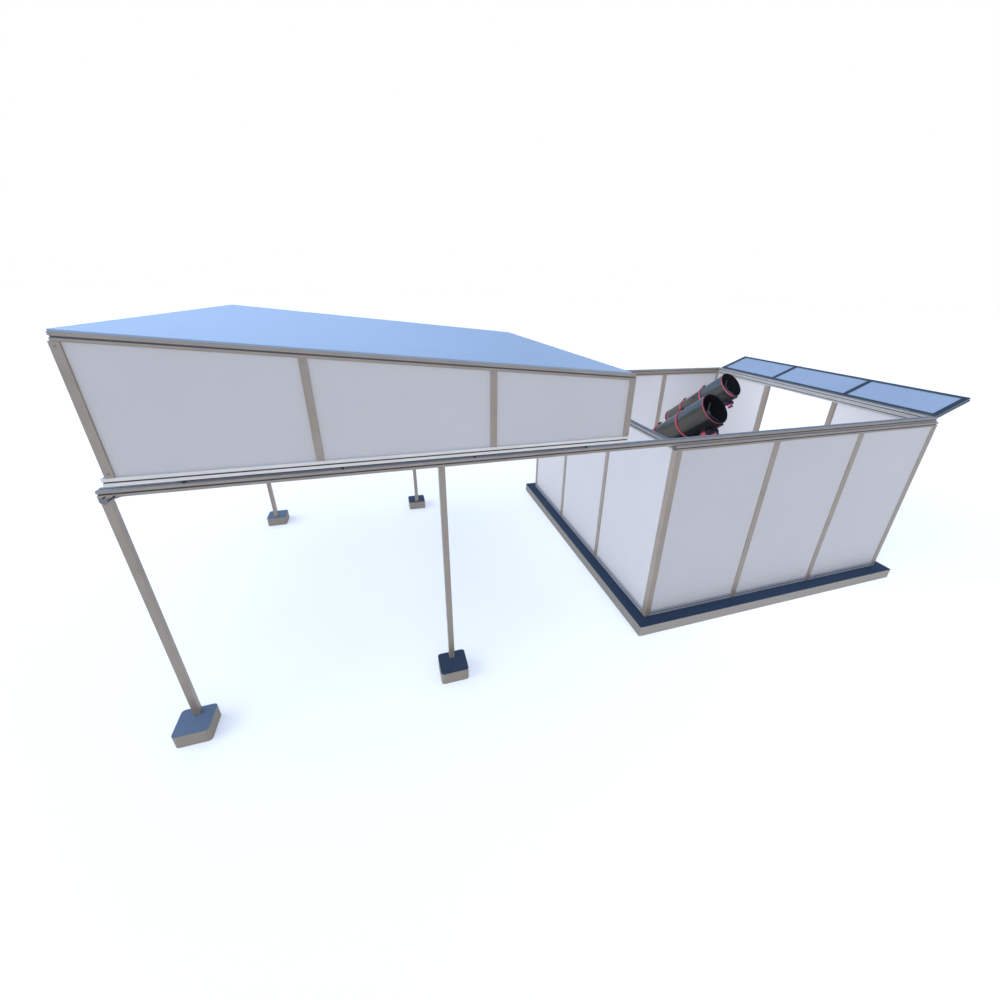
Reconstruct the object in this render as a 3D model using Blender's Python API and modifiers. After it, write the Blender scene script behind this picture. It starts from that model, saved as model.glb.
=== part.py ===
"""Roll-off roof observatory, built as an assembly of named parts.

Metres, +Z up, origin on the ground under the middle of the room. The rails run along X. The roof is
rolled off towards -X, as photographed, and the end flap hangs open over the +X wall.
"""
import math

import bmesh
import bpy
from mathutils import Matrix, Vector

# Clearance kept between parts that touch, and how far a cutter reaches past what it cuts
gap = 0.0003
overcut = 0.1

# Foundations
slabHeight = 0.11
slabProjection = 0.12
slabCorner = 0.015
footSide = 0.23
footOverhang = 0.15
footCorner = 0.025
cornerSteps = 4

# Room
roomHalf = 1.60
postSize = 0.06
bayCount = 3
sillHeight = 0.06
plateHeight = 0.045
panelThickness = 0.03
panelRecess = 0.008

# Rails and the runway that carries the open roof
railHeight = 0.045
railWidth = 0.06
railInset = 0.02
railTop = 1.937
runwayLength = 3.81
runwayPost = 0.045
bracketDrop = 0.026
bracketPoint = 0.04
bracketShoulder = 0.018
bracketLeg = 0.062
plateWidth = 0.03
plateDrop = 0.043
plateThickness = 0.004

# Roll-off roof
roofProfile = 0.045
mullionDepth = 0.012
roofStart = -5.343
roofEnd = -2.062
roofMullions = (-4.275, -3.159)
roofFoot = 1.957
footChord = 0.05
footChordReach = 0.02
topChordStart = -5.332
roofHighEaves = 2.727
roofLowEaves = 2.431
claddingThickness = 0.016
sheetThickness = 0.012
sheetStart = -5.3264
sheetEnd = -2.102
rollerBar = 0.004
rollerRadius = 0.0085
rollerWidth = 0.03
rollerInset = 0.35
rollerCount = 4

# End flap over the +X wall
flapHalfWidth = 1.55
flapHeight = 0.466
flapThickness = 0.04
flapClearance = 0.008
flapBarDepth = 0.008
flapRail = 0.035
flapStile = 0.055
flapMullion = 0.05
flapTilt = math.radians(68.7)
hingePin = 0.006
hingeKnuckle = 0.010
hingeLength = 0.10
hingeOut = 0.018
hingeUp = -0.003
hingeRoomSide = 0.02
hingeRoomTop = 0.02
hingeRoomEnd = 0.01
hingeLeafInset = 0.001
hingeLeafRise = 0.03
hingeLeafDrop = 0.04
hingeLeafSink = 0.002
hingeStations = (-1.25, 0.0, 1.25)

# Twin Newtonian telescopes on equatorial mounts
telescopeSpots = {"east": (0.664, 0.688), "west": (-0.528, -0.383)}
polarAzimuth = math.radians(-76.7)
polarAltitude = math.radians(40.7)
pivotHeight = 1.233
pivotReach = 0.25
tubeRadius = 0.173
tubeWall = 0.006
tubeLength = 1.10
tubeOffset = 0.43
mirrorCell = 0.03
ringMiddle = 0.515
ringSpacing = 0.375
ringWidth = 0.025
ringThickness = 0.012
pierHeight = 0.75
pierRadius = 0.11
pierFlange = 0.20
pierCap = 0.15
flangeThickness = 0.02
housingRadius = 0.09
housingStart = -0.42
housingEnd = -0.085
hubEnd = -0.03
mountBaseLength = 0.24
mountBaseWidth = 0.14
mountBaseHeight = 0.17
headRadius = 0.07
headStart = -0.14
headEnd = 0.19
shaftRadius = 0.016
shaftStart = -0.62
shaftEnd = -0.12
weightRadius = 0.11
weightThickness = 0.10
weightStarts = (-0.49, -0.595)
saddleLength = 0.52
saddleWidth = 0.10
saddleClearance = 0.004
handleWidth = 0.036
handleSink = 0.01
handleHeight = 0.018
handleLength = 0.06
handleLead = 0.015
focuserSink = 0.02
focuserHalf = 0.035
focuserPlate = {"span": (0.985, 1.09), "rise": 0.022}
focuserBase = {"span": (0.83, 0.99), "rise": 0.036}
focuserBody = {"span": (0.925, 0.985), "rise": 0.062}
drawtubeRadius = 0.03
drawtubeSpan = (0.05, 0.09)
capRadius = 0.036
capSpan = (0.085, 0.102)
knobRadius = 0.033
knobRise = 0.034
knobSpan = (0.04, 0.066)
knobAxle = 0.008

# Levels that follow from the sizes above
slabTop = slabHeight
railBottom = railTop - railHeight
wallTop = railBottom - gap
bayWidth = (2 * roomHalf - (bayCount + 1) * postSize) / bayCount
lintelLevel = railBottom - plateHeight
roofSlope = (roofHighEaves - roofLowEaves) / (roofEnd - roofStart)


def clearScene():
    for item in list(bpy.data.objects):
        bpy.data.objects.remove(item, do_unlink=True)
    for group in list(bpy.data.collections):
        bpy.data.collections.remove(group)


def makeCollection(name):
    group = bpy.data.collections.new(name)
    bpy.context.scene.collection.children.link(group)
    return group


def makeMaterial(name, colour, roughness, metallic):
    material = bpy.data.materials.new(name)
    material.use_nodes = True
    shader = material.node_tree.nodes["Principled BSDF"]
    shader.inputs["Base Color"].default_value = (*colour, 1.0)
    shader.inputs["Roughness"].default_value = roughness
    shader.inputs["Metallic"].default_value = metallic
    material.diffuse_color = (*colour, 1.0)
    return material


def file(item, group, material):
    """Moves an object into a collection and gives it its material."""
    for other in list(item.users_collection):
        other.objects.unlink(item)
    group.objects.link(item)
    item.data.materials.clear()
    item.data.materials.append(material)
    return item


def box(name, low, high, group, material, frame=None):
    """A box between two corners, in world axes or in the axes of a frame."""
    bpy.ops.mesh.primitive_cube_add(size=1)
    item = bpy.context.object
    item.name = name
    size = Vector(high) - Vector(low)
    middle = (Vector(high) + Vector(low)) / 2
    item.data.transform(Matrix.Diagonal((*size, 1.0)))
    item.matrix_world = (frame or Matrix()) @ Matrix.Translation(middle)
    return file(item, group, material)


def roundedBox(name, low, high, radius, group, material):
    """A box with its four upright edges rounded."""
    item = box(name, low, high, group, material)
    shape = bmesh.new()
    shape.from_mesh(item.data)
    upright = [edge for edge in shape.edges if abs(edge.verts[0].co.z - edge.verts[1].co.z) > gap]
    bmesh.ops.bevel(shape, geom=upright, offset=radius, segments=cornerSteps, profile=0.5, affect="EDGES")
    shape.to_mesh(item.data)
    shape.free()
    return item


def cylinder(name, radius, start, end, group, material, frame=None, sides=32):
    """A round bar between two points on the Z axis of a frame."""
    bpy.ops.mesh.primitive_cylinder_add(radius=radius, depth=end - start, vertices=sides)
    item = bpy.context.object
    item.name = name
    item.matrix_world = (frame or Matrix()) @ Matrix.Translation((0, 0, (start + end) / 2))
    return file(item, group, material)


def turned(name, profile, group, material, frame=None, steps=48):
    """A turned body: a profile of (radius, height) points, outer side first from the top down."""
    mesh = bpy.data.meshes.new(name)
    edges = [(index, index + 1) for index in range(len(profile) - 1)]
    mesh.from_pydata([(radius, 0, height) for radius, height in profile], edges, [])
    item = bpy.data.objects.new(name, mesh)
    bpy.context.scene.collection.objects.link(item)
    screw = item.modifiers.new("Turned", "SCREW")
    screw.steps = steps
    screw.render_steps = steps
    screw.use_merge_vertices = True
    screw.merge_threshold = 0.00005
    item.matrix_world = frame or Matrix()
    return file(item, group, material)


def outline(name, loops, low, high, group, material):
    """A flat plate in the XZ plane with any number of holes, between two Y values."""
    curve = bpy.data.curves.new(name, "CURVE")
    curve.dimensions = "2D"
    curve.fill_mode = "BOTH"
    curve.extrude = (high - low) / 2
    for loop in loops:
        spline = curve.splines.new("POLY")
        spline.points.add(len(loop) - 1)
        for point, (across, up) in zip(spline.points, loop):
            point.co = (across, up, 0, 1)
        spline.use_cyclic_u = True
    drawn = bpy.data.objects.new(name, curve)
    mesh = bpy.data.meshes.new_from_object(drawn)
    bpy.data.objects.remove(drawn)
    shape = bmesh.new()
    shape.from_mesh(mesh)
    bmesh.ops.remove_doubles(shape, verts=shape.verts, dist=0.00005)
    bmesh.ops.recalc_face_normals(shape, faces=shape.faces)
    shape.to_mesh(mesh)
    shape.free()
    item = bpy.data.objects.new(name, mesh)
    bpy.context.scene.collection.objects.link(item)
    item.matrix_world = Matrix.Translation((0, (low + high) / 2, 0)) @ Matrix.Rotation(math.pi / 2, 4, "X")
    return file(item, group, material)


def attach(item, parent):
    """Parents an object without moving it."""
    world = item.matrix_world.copy()
    item.parent = parent
    item.matrix_parent_inverse = parent.matrix_world.inverted()
    item.matrix_world = world
    return item


def combine(item, other, operation):
    """Adds a Boolean to an object. The other object becomes a wire-drawn tool that moves with it."""
    attach(other, item)
    modifier = item.modifiers.new(other.name, "BOOLEAN")
    modifier.operation = operation
    modifier.object = other
    modifier.solver = "EXACT"
    other.hide_render = True
    other.display_type = "WIRE"
    return item


def cut(item, other):
    return combine(item, other, "DIFFERENCE")


def join(item, other):
    return combine(item, other, "UNION")


def axisEmpty(name, frame, group, parent=None):
    """An empty whose place and Z axis mark a joint."""
    empty = bpy.data.objects.new(name, None)
    empty.empty_display_size = 0.2
    group.objects.link(empty)
    empty.matrix_world = frame
    bpy.context.view_layer.update()
    if parent:
        attach(empty, parent)
        bpy.context.view_layer.update()
    return empty


clearScene()
parts = makeCollection("roll_off_roof_observatory")
cutters = makeCollection("cutters")

concrete = makeMaterial("Concrete", (0.16, 0.19, 0.24), 0.85, 0.0)
aluminium = makeMaterial("Anodised aluminium", (0.30, 0.28, 0.26), 0.45, 0.8)
composite = makeMaterial("Light grey composite panel", (0.52, 0.54, 0.60), 0.4, 0.0)
roofBlue = makeMaterial("Light blue roof sheet", (0.42, 0.60, 0.92), 0.35, 0.0)
flapBlue = makeMaterial("Blue flap sheet", (0.30, 0.42, 0.68), 0.35, 0.0)
tyre = makeMaterial("Black nylon wheel", (0.03, 0.03, 0.035), 0.6, 0.0)
darkMetal = makeMaterial("Black anodised metal", (0.03, 0.035, 0.04), 0.4, 0.6)
paleMetal = makeMaterial("Painted steel", (0.45, 0.47, 0.50), 0.5, 0.3)
graphite = makeMaterial("Graphite tube", (0.05, 0.06, 0.07), 0.3, 0.2)
red = makeMaterial("Red anodised metal", (0.45, 0.03, 0.05), 0.35, 0.6)


def buildFoundations():
    edge = roomHalf + slabProjection
    roundedBox("slab", (-edge, -edge, 0), (edge, edge, slabTop), slabCorner, parts, concrete)
    for side, sign in (("front", -1), ("back", 1)):
        for spot, middle in postSpots().items():
            outer = roomHalf - railInset + footOverhang
            rows = sorted((sign * outer, sign * (outer - footSide)))
            low = (middle - footSide / 2, rows[0], 0)
            high = (middle + footSide / 2, rows[1], slabTop)
            roundedBox(f"{side}_{spot}_foot", low, high, footCorner, parts, concrete)


def postSpots():
    """X of the two free-standing posts on each side of the runway."""
    outer = -roomHalf - runwayLength + runwayPost / 2
    middle = -roomHalf - runwayLength / 2
    return {"outer": outer, "middle": middle}


def buildRunway():
    for side, sign in (("front", -1), ("back", 1)):
        face = sign * (roomHalf - railInset)
        rows = sorted((face, face - sign * railWidth))
        start = -roomHalf - runwayLength
        box(f"{side}_rail", (start, rows[0], railBottom), (roomHalf, rows[1], railTop), parts, aluminium)
        centre = (rows[0] + rows[1]) / 2
        half = runwayPost / 2
        top = railBottom - gap
        for spot, middle in postSpots().items():
            low = (middle - half, centre - half, slabTop + gap)
            high = (middle + half, centre + half, top)
            post = box(f"{side}_{spot}_post", low, high, parts, aluminium)
            if spot == "outer":
                join(post, outerBracket(f"{side}_bracket", middle - half, middle + half, top, rows))
            else:
                plateLow = (middle - plateWidth / 2, centre - half - plateThickness, top - plateDrop)
                plateHigh = (middle + plateWidth / 2, centre + half + plateThickness, top)
                join(post, box(f"{side}_plate", plateLow, plateHigh, cutters, aluminium))


def outerBracket(name, start, end, top, rows):
    """The pointed end bracket between an outer post and its rail, as wide as the rail."""
    loop = [(start, top), (start, top - bracketDrop), ((start + end) / 2, top - bracketPoint),
            (end, top - bracketShoulder), (end + bracketLeg, top)]
    return outline(name, [loop], rows[0], rows[1], cutters, aluminium)


def wallFrame(name, low, high, bays, along):
    """A frame of profiles: a solid wall with its bays cut out. Bays are (start, end) along an axis."""
    frame = box(name, low, high, parts, aluminium)
    for index, (start, end) in enumerate(bays):
        holeLow = [low[0] - overcut, low[1] - overcut, slabTop + gap + sillHeight]
        holeHigh = [high[0] + overcut, high[1] + overcut, lintelLevel]
        holeLow[along] = start
        holeHigh[along] = end
        cut(frame, box(f"{name}_bay_{index + 1}", holeLow, holeHigh, cutters, aluminium))
    return frame


def bayEdges():
    """The start and end of each bay between the posts."""
    first = -roomHalf + postSize
    pitch = bayWidth + postSize
    return [(first + index * pitch, first + index * pitch + bayWidth) for index in range(bayCount)]


def panel(name, start, end, outerFace, along, sign):
    """A composite panel that fills one bay, set back from the outer face of the frame."""
    near = outerFace - sign * panelRecess
    depth = sorted((near, near - sign * panelThickness))
    low = [0, 0, slabTop + 2 * gap + sillHeight]
    high = [0, 0, lintelLevel - gap]
    low[along] = start + gap
    high[along] = end - gap
    low[1 - along] = depth[0]
    high[1 - along] = depth[1]
    return box(name, low, high, parts, composite)


def notchForRails(frame, name, low, high):
    """Cuts the two upper corners of a cross wall back, where the rails pass."""
    for side, sign in (("front", -1), ("back", 1)):
        inner = sign * (roomHalf - railInset - railWidth - gap)
        rows = sorted((inner, sign * roomHalf))
        notch = box(f"{name}_{side}_notch", (low - overcut, rows[0], railBottom - gap),
                    (high + overcut, rows[1], railTop + overcut), cutters, aluminium)
        cut(frame, notch)


def buildRoom():
    bays = bayEdges()
    for side, sign in (("front", -1), ("back", 1)):
        rows = sorted((sign * roomHalf, sign * (roomHalf - postSize)))
        wallFrame(f"{side}_wall_frame", (-roomHalf, rows[0], slabTop + gap),
                  (roomHalf, rows[1], wallTop), bays, 0)
        for index, (start, end) in enumerate(bays):
            panel(f"{side}_panel_{index + 1}", start, end, sign * roomHalf, 0, sign)
    inner = roomHalf - postSize - gap
    leftBays = [(bays[0][0] - overcut, bays[0][1]), bays[1], (bays[2][0], bays[2][1] + overcut)]
    wallFrame("left_wall_frame", (-roomHalf, -inner, slabTop + gap),
              (-roomHalf + postSize, inner, wallTop), leftBays, 1)
    for index, (start, end) in enumerate(bays):
        panel(f"left_panel_{index + 1}", start, end, -roomHalf, 1, -1)
    buildDoorWall(bays, inner)


def buildDoorWall(bays, inner):
    """The +X wall: a header with the flap's hinge pins, two door posts with sills, and two panels."""
    header = box("right_wall_header", (roomHalf - postSize, -inner, lintelLevel),
                 (roomHalf, inner, railTop), parts, aluminium)
    notchForRails(header, "right_wall", roomHalf - postSize, roomHalf)
    for index, station in enumerate(hingeStations):
        name = f"flap_hinge_{index + 1}"
        join(header, hingeArm(name, station))
        join(header, hingeRod(name, station))
    for side, bay, sign in (("front", bays[0], -1), ("back", bays[2], 1)):
        doorEdge = sign * bayWidth / 2
        outer = doorEdge + sign * postSize
        rows = sorted((doorEdge, outer))
        post = box(f"door_post_{side}", (roomHalf - postSize, rows[0], slabTop + gap),
                   (roomHalf, rows[1], lintelLevel - gap), parts, aluminium)
        sillRows = sorted((doorEdge + sign * postSize / 2, sign * inner))
        sill = box(f"door_post_{side}_sill", (roomHalf - postSize, sillRows[0], slabTop + gap),
                   (roomHalf, sillRows[1], slabTop + gap + sillHeight), cutters, aluminium)
        join(post, sill)
        panel(f"right_panel_{side}", bay[0], bay[1], roomHalf, 1, 1)


def hingeAxis():
    return Vector((roomHalf + hingeOut, 0, railTop + hingeUp))


def alongY(point):
    """A frame at a point whose Z axis runs along world Y."""
    return Matrix.Translation(point) @ Matrix.Rotation(-math.pi / 2, 4, "X")


def hingeArm(name, station):
    """The fixed leaf between the two moving knuckles, bolted to the wall's outer face."""
    axis = hingeAxis()
    reach = hingeLength / 6 - gap
    low = (roomHalf - hingeLeafSink, station - reach, railTop - hingeLeafDrop)
    high = (roomHalf + hingeOut, station + reach, axis.z)
    return box(f"{name}_leaf", low, high, cutters, aluminium)


def hingeRod(name, station):
    """The hinge pin."""
    frame = alongY(hingeAxis())
    half = hingeLength / 2
    return cylinder(f"{name}_pin", hingePin, station - half, station + half, cutters, aluminium, frame, 16)


def eaves(x):
    """Underside of the sloping top chord above an X."""
    return roofHighEaves - roofSlope * (x - roofStart)


def trapezoid(start, end, foot, rise):
    """A loop under the roof slope, from a foot level to a height over the eaves line."""
    return [(start, foot), (end, foot), (end, eaves(end) + rise), (start, eaves(start) + rise)]


def buildRoof():
    axis = axisEmpty("roof_slide", Matrix.Translation(((roofStart + roofEnd) / 2, 0, railTop)), parts)
    outer = roomHalf - railInset
    inner = outer - roofProfile
    chordTop = roofFoot + footChord
    edges = [roofStart + roofProfile, *roofMullions, roofEnd - roofProfile]
    bays = [(edges[0], edges[1]), (edges[1] + roofProfile, edges[2]), (edges[2] + roofProfile, edges[3])]
    for side, sign in (("front", -1), ("back", 1)):
        rows = sorted((sign * outer, sign * inner))
        loops = [sideOutline(chordTop)] + [trapezoid(start, end, chordTop, 0) for start, end in bays]
        frame = outline(f"roof_{side}_frame", loops, rows[0], rows[1], parts, aluminium)
        pocketRows = sorted((sign * (outer - mullionDepth), sign * (inner - overcut)))
        pocket = outline(f"roof_{side}_pocket", [trapezoid(edges[0], edges[3], chordTop, 0)],
                         pocketRows[0], pocketRows[1], cutters, aluminium)
        attach(cut(frame, pocket), axis)
        face = outer - mullionDepth - gap
        sheetRows = sorted((sign * face, sign * (face - claddingThickness)))
        cladding = outline(f"roof_{side}_cladding",
                           [trapezoid(edges[0] + gap, edges[3] - gap, chordTop + gap, -gap)],
                           sheetRows[0], sheetRows[1], parts, composite)
        attach(cladding, axis)
        attach(rollerTrack(side, sign * (outer - roofProfile / 2)), axis)
    buildRoofEnd(axis, inner - gap, chordTop)
    buildRoofSheet(axis, outer, inner)
    return axis


def sideOutline(chordTop):
    """The side of the roof: the foot chord reaches past the end post, and the top chord stops short of it."""
    end = eaves(roofEnd) + roofProfile
    start = eaves(topChordStart)
    return [(roofStart - footChordReach, roofFoot), (roofEnd, roofFoot), (roofEnd, end),
            (topChordStart, start + roofProfile), (topChordStart, start),
            (roofStart, eaves(roofStart)), (roofStart, chordTop), (roofStart - footChordReach, chordTop)]


def rollerTrack(side, row):
    """A flat bar under the bottom chord with the rollers that run on the rail."""
    top = roofFoot - gap
    start = roofStart + rollerInset
    end = roofEnd - rollerInset
    half = roofProfile / 2
    bar = box(f"roof_{side}_rollers", (start - half, row - half, top - rollerBar),
              (end + half, row + half, top), parts, tyre)
    for index in range(rollerCount):
        place = start + (end - start) * index / (rollerCount - 1)
        centre = Vector((place, 0, railTop + gap + rollerRadius))
        roller = cylinder(f"roof_{side}_roller_{index + 1}", rollerRadius, row - rollerWidth / 2,
                          row + rollerWidth / 2, cutters, tyre, alongY(centre), 24)
        join(bar, roller)
    return bar


def buildRoofEnd(axis, half, chordTop):
    """The tall end wall of the roof."""
    inside = roofStart + roofProfile
    top = eaves(inside) + roofProfile
    opening = eaves(inside) - gap
    frame = box("roof_end_frame", (roofStart, -half, roofFoot), (inside, half, top - gap), parts, aluminium)
    pitch = 2 * half / bayCount
    for index in range(bayCount):
        start = -half + index * pitch + (0 if index == 0 else roofProfile / 2)
        end = -half + (index + 1) * pitch - (0 if index == bayCount - 1 else roofProfile / 2)
        start -= overcut if index == 0 else 0
        end += overcut if index == bayCount - 1 else 0
        hole = box(f"roof_end_bay_{index + 1}", (roofStart - overcut, start, chordTop),
                   (inside + overcut, end, opening), cutters, aluminium)
        cut(frame, hole)
    pocket = box("roof_end_pocket", (roofStart + mullionDepth, -half - overcut, chordTop),
                 (inside + overcut, half + overcut, opening), cutters, aluminium)
    cut(frame, pocket)
    step = box("roof_end_step", (roofStart - overcut, -half - overcut, eaves(roofStart)),
               (topChordStart, half + overcut, top + overcut), cutters, aluminium)
    cut(frame, step)
    attach(frame, axis)
    face = roofStart + mullionDepth + gap
    cladding = box("roof_end_cladding", (face, -half, chordTop + gap),
                   (face + claddingThickness, half, opening - gap), parts, composite)
    attach(cladding, axis)


def buildRoofSheet(axis, outer, inner):
    """The roof sheet, flush with the frame's sides, and the cross beam of the low end."""
    foot = roofProfile + gap
    loop = [(sheetStart, eaves(sheetStart) + foot), (sheetEnd, eaves(sheetEnd) + foot),
            (sheetEnd, eaves(sheetEnd) + foot + sheetThickness),
            (sheetStart, eaves(sheetStart) + foot + sheetThickness)]
    attach(outline("roof_sheet", [loop], -outer, outer, parts, roofBlue), axis)
    start = roofEnd - roofProfile
    loop = [(start, eaves(start)), (roofEnd, eaves(roofEnd)),
            (roofEnd, eaves(roofEnd) + roofProfile), (start, eaves(start) + roofProfile)]
    beam = outline("roof_low_beam", [loop], -(inner - gap), inner - gap, parts, aluminium)
    attach(beam, axis)


def buildFlap():
    """The flap is modelled closed, upright on the +X wall, and then laid open by its hinge."""
    hinge = hingeAxis()
    axis = axisEmpty("flap_hinge", alongY(hinge), parts)
    face = roomHalf + flapClearance
    foot = hinge.z
    frame = box("flap_frame", (face, -flapHalfWidth, foot),
                (face + flapThickness, flapHalfWidth, foot + flapHeight), parts, aluminium)
    side = flapHalfWidth - flapStile
    middles = [-(bayWidth + postSize) / 2, (bayWidth + postSize) / 2]
    starts = [-side] + [middle + flapMullion / 2 for middle in middles]
    ends = [middle - flapMullion / 2 for middle in middles] + [side]
    for index, (start, end) in enumerate(zip(starts, ends)):
        hole = box(f"flap_bay_{index + 1}", (face - overcut, start, foot + flapRail),
                   (face + 2 * overcut, end, foot + flapHeight - flapRail), cutters, aluminium)
        cut(frame, hole)
    low = (face + flapBarDepth, -side, foot + flapRail)
    high = (face + 2 * overcut, side, foot + flapHeight - flapRail)
    cut(frame, box("flap_pocket", low, high, cutters, aluminium))
    for index, station in enumerate(hingeStations):
        room = box(f"flap_hinge_room_{index + 1}",
                   (face - overcut, station - hingeLength / 2 - hingeRoomEnd, foot - overcut),
                   (hinge.x + hingeRoomSide, station + hingeLength / 2 + hingeRoomEnd, foot + hingeRoomTop),
                   cutters, aluminium)
        cut(frame, room)
        for end, sign in (("near", -1), ("far", 1)):
            join(frame, knuckle(f"flap_knuckle_{index + 1}_{end}", station, sign, face, foot))
    for index, station in enumerate(hingeStations):
        bore = cylinder(f"flap_bore_{index + 1}", hingePin + gap, station - hingeLength,
                        station + hingeLength, cutters, aluminium, alongY(hinge), 16)
        cut(frame, bore)
    face += flapBarDepth + gap
    sheet = box("flap_sheet", (face, low[1] + gap, low[2] + gap),
                (face + claddingThickness, high[1] - gap, high[2] - gap), parts, flapBlue)
    attach(frame, axis)
    attach(sheet, axis)
    bpy.context.view_layer.update()
    axis.matrix_world = alongY(hinge) @ Matrix.Rotation(flapTilt, 4, "Z")
    return axis


def knuckle(name, station, sign, face, foot):
    """One moving knuckle with its leaf, running from the pin up into the flap frame."""
    hinge = hingeAxis()
    inside = hingeLength / 6 + gap
    rows = sorted((station + sign * inside, station + sign * hingeLength / 2))
    body = cylinder(f"{name}_barrel", hingeKnuckle, rows[0], rows[1], cutters, aluminium, alongY(hinge), 16)
    leaf = box(f"{name}_leaf", (hinge.x + hingeLeafInset, rows[0] + gap, hinge.z),
               (hinge.x + hingeKnuckle - hingeLeafInset, rows[1] - gap, foot + hingeLeafRise),
               cutters, aluminium)
    return join(body, leaf)


def directionFrame(origin, up, forward):
    """A frame whose Z axis runs along one direction and whose X axis lies nearest another."""
    zAxis = up.normalized()
    yAxis = zAxis.cross(forward).normalized()
    xAxis = yAxis.cross(zAxis)
    turn = Matrix((xAxis, yAxis, zAxis)).transposed().to_4x4()
    return Matrix.Translation(origin) @ turn


def polarDirection():
    flat = math.cos(polarAltitude)
    return Vector((flat * math.cos(polarAzimuth), flat * math.sin(polarAzimuth), math.sin(polarAltitude)))


def buildTelescope(name, spot):
    pole = polarDirection()
    up = (Vector((0, 0, 1)) - pole * pole.z).normalized()
    flat = Vector((pole.x, pole.y, 0)).normalized()
    pierTop = slabTop + gap + pierHeight
    pivot = Vector((spot[0], spot[1], pivotHeight)) + flat * pivotReach * math.cos(polarAltitude)
    profile = [(0, pierTop), (pierCap, pierTop), (pierCap, pierTop - flangeThickness),
               (pierRadius, pierTop - flangeThickness), (pierRadius, slabTop + gap + flangeThickness),
               (pierFlange, slabTop + gap + flangeThickness), (pierFlange, slabTop + gap), (0, slabTop + gap)]
    turned(f"{name}_pier", profile, parts, paleMetal, Matrix.Translation((spot[0], spot[1], 0)))
    buildMount(name, spot, pivot, pole, flat, pierTop)
    rightAscension = axisEmpty(f"{name}_right_ascension", directionFrame(pivot, pole, up), parts)
    buildDeclinationHead(name, pivot, pole, up, rightAscension)
    declination = axisEmpty(f"{name}_declination", directionFrame(pivot, up, pole), parts, rightAscension)
    buildTube(name, pivot, pole, up, declination)


def buildMount(name, spot, pivot, pole, flat, pierTop):
    """The fixed half of the equatorial mount: a base block and the inclined polar housing."""
    housing = directionFrame(pivot, pole, Vector((0, 0, 1)))
    end = housingEnd - gap
    body = cylinder(f"{name}_mount", housingRadius, housingStart, end, parts, darkMetal, housing)
    base = directionFrame(Vector((spot[0], spot[1], pierTop + gap)), Vector((0, 0, 1)), flat)
    half = (mountBaseLength / 2, mountBaseWidth / 2)
    block = box(f"{name}_mount_base", (-half[0], -half[1], 0), (half[0], half[1], mountBaseHeight),
                cutters, darkMetal, base)
    join(body, block)


def buildDeclinationHead(name, pivot, pole, up, parent):
    """The half that turns on the polar axis: declination housing, shaft and counterweights."""
    along = directionFrame(pivot, up, pole)
    polar = directionFrame(pivot, pole, up)
    body = cylinder(f"{name}_declination_head", headRadius, headStart, headEnd, parts, darkMetal, along)
    join(body, cylinder(f"{name}_polar_hub", housingRadius, housingEnd, hubEnd, cutters, darkMetal, polar))
    join(body, cylinder(f"{name}_counter_shaft", shaftRadius, shaftStart, shaftEnd, cutters, darkMetal,
                        along, 16))
    for index, start in enumerate(weightStarts):
        join(body, cylinder(f"{name}_counterweight_{index + 1}", weightRadius, start, start + weightThickness,
                            cutters, darkMetal, along))
    attach(body, parent)


def buildTube(name, pivot, pole, up, parent):
    """Tube, mirror cell, cradle and focuser, which turn together on the declination axis."""
    middle = pivot + up * tubeOffset
    tail = directionFrame(middle - pole * tubeLength / 2, pole, up)
    bore = tubeRadius - tubeWall
    profile = [(bore, tubeLength), (tubeRadius, tubeLength), (tubeRadius, 0), (bore, 0), (bore, tubeLength)]
    attach(turned(f"{name}_tube", profile, parts, graphite, tail), parent)
    profile = [(0, mirrorCell), (bore - gap, mirrorCell), (bore - gap, 0), (0, 0)]
    attach(turned(f"{name}_mirror_cell", profile, parts, darkMetal, tail), parent)
    along = directionFrame(pivot, up, pole)
    inside = tubeRadius + gap
    outside = inside + ringThickness
    half = saddleLength / 2
    cradle = box(f"{name}_cradle", (-half, -saddleWidth / 2, headEnd + gap),
                 (half, saddleWidth / 2, tubeOffset - inside - saddleClearance), parts, red, along)
    for index, sign in enumerate((-1, 1)):
        place = ringMiddle + sign * ringSpacing / 2
        start = place - ringWidth / 2
        end = place + ringWidth / 2
        ring = cylinder(f"{name}_ring_{index + 1}", outside, start, end, cutters, red, tail, 48)
        join(cradle, ring)
        place += handleLead
        reach = handleLength / 2
        handle = box(f"{name}_handle_{index + 1}", (outside - handleSink, -handleWidth / 2, place - reach),
                     (outside + handleHeight, handleWidth / 2, place + reach), cutters, darkMetal, tail)
        join(cradle, handle)
    hollow = cylinder(f"{name}_cradle_bore", inside, gap, tubeLength - gap, cutters, red, tail, 48)
    attach(cut(cradle, hollow), parent)
    buildFocuser(name, tail, parent)


def focuserBlock(name, tail, shape, group):
    """A block on the tube's underside, between two places along the tube and out to one height."""
    low, high = shape["span"]
    return box(name, (-tubeRadius - shape["rise"], -focuserHalf, low),
               (focuserSink - tubeRadius, focuserHalf, high), group, darkMetal, tail)


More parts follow.
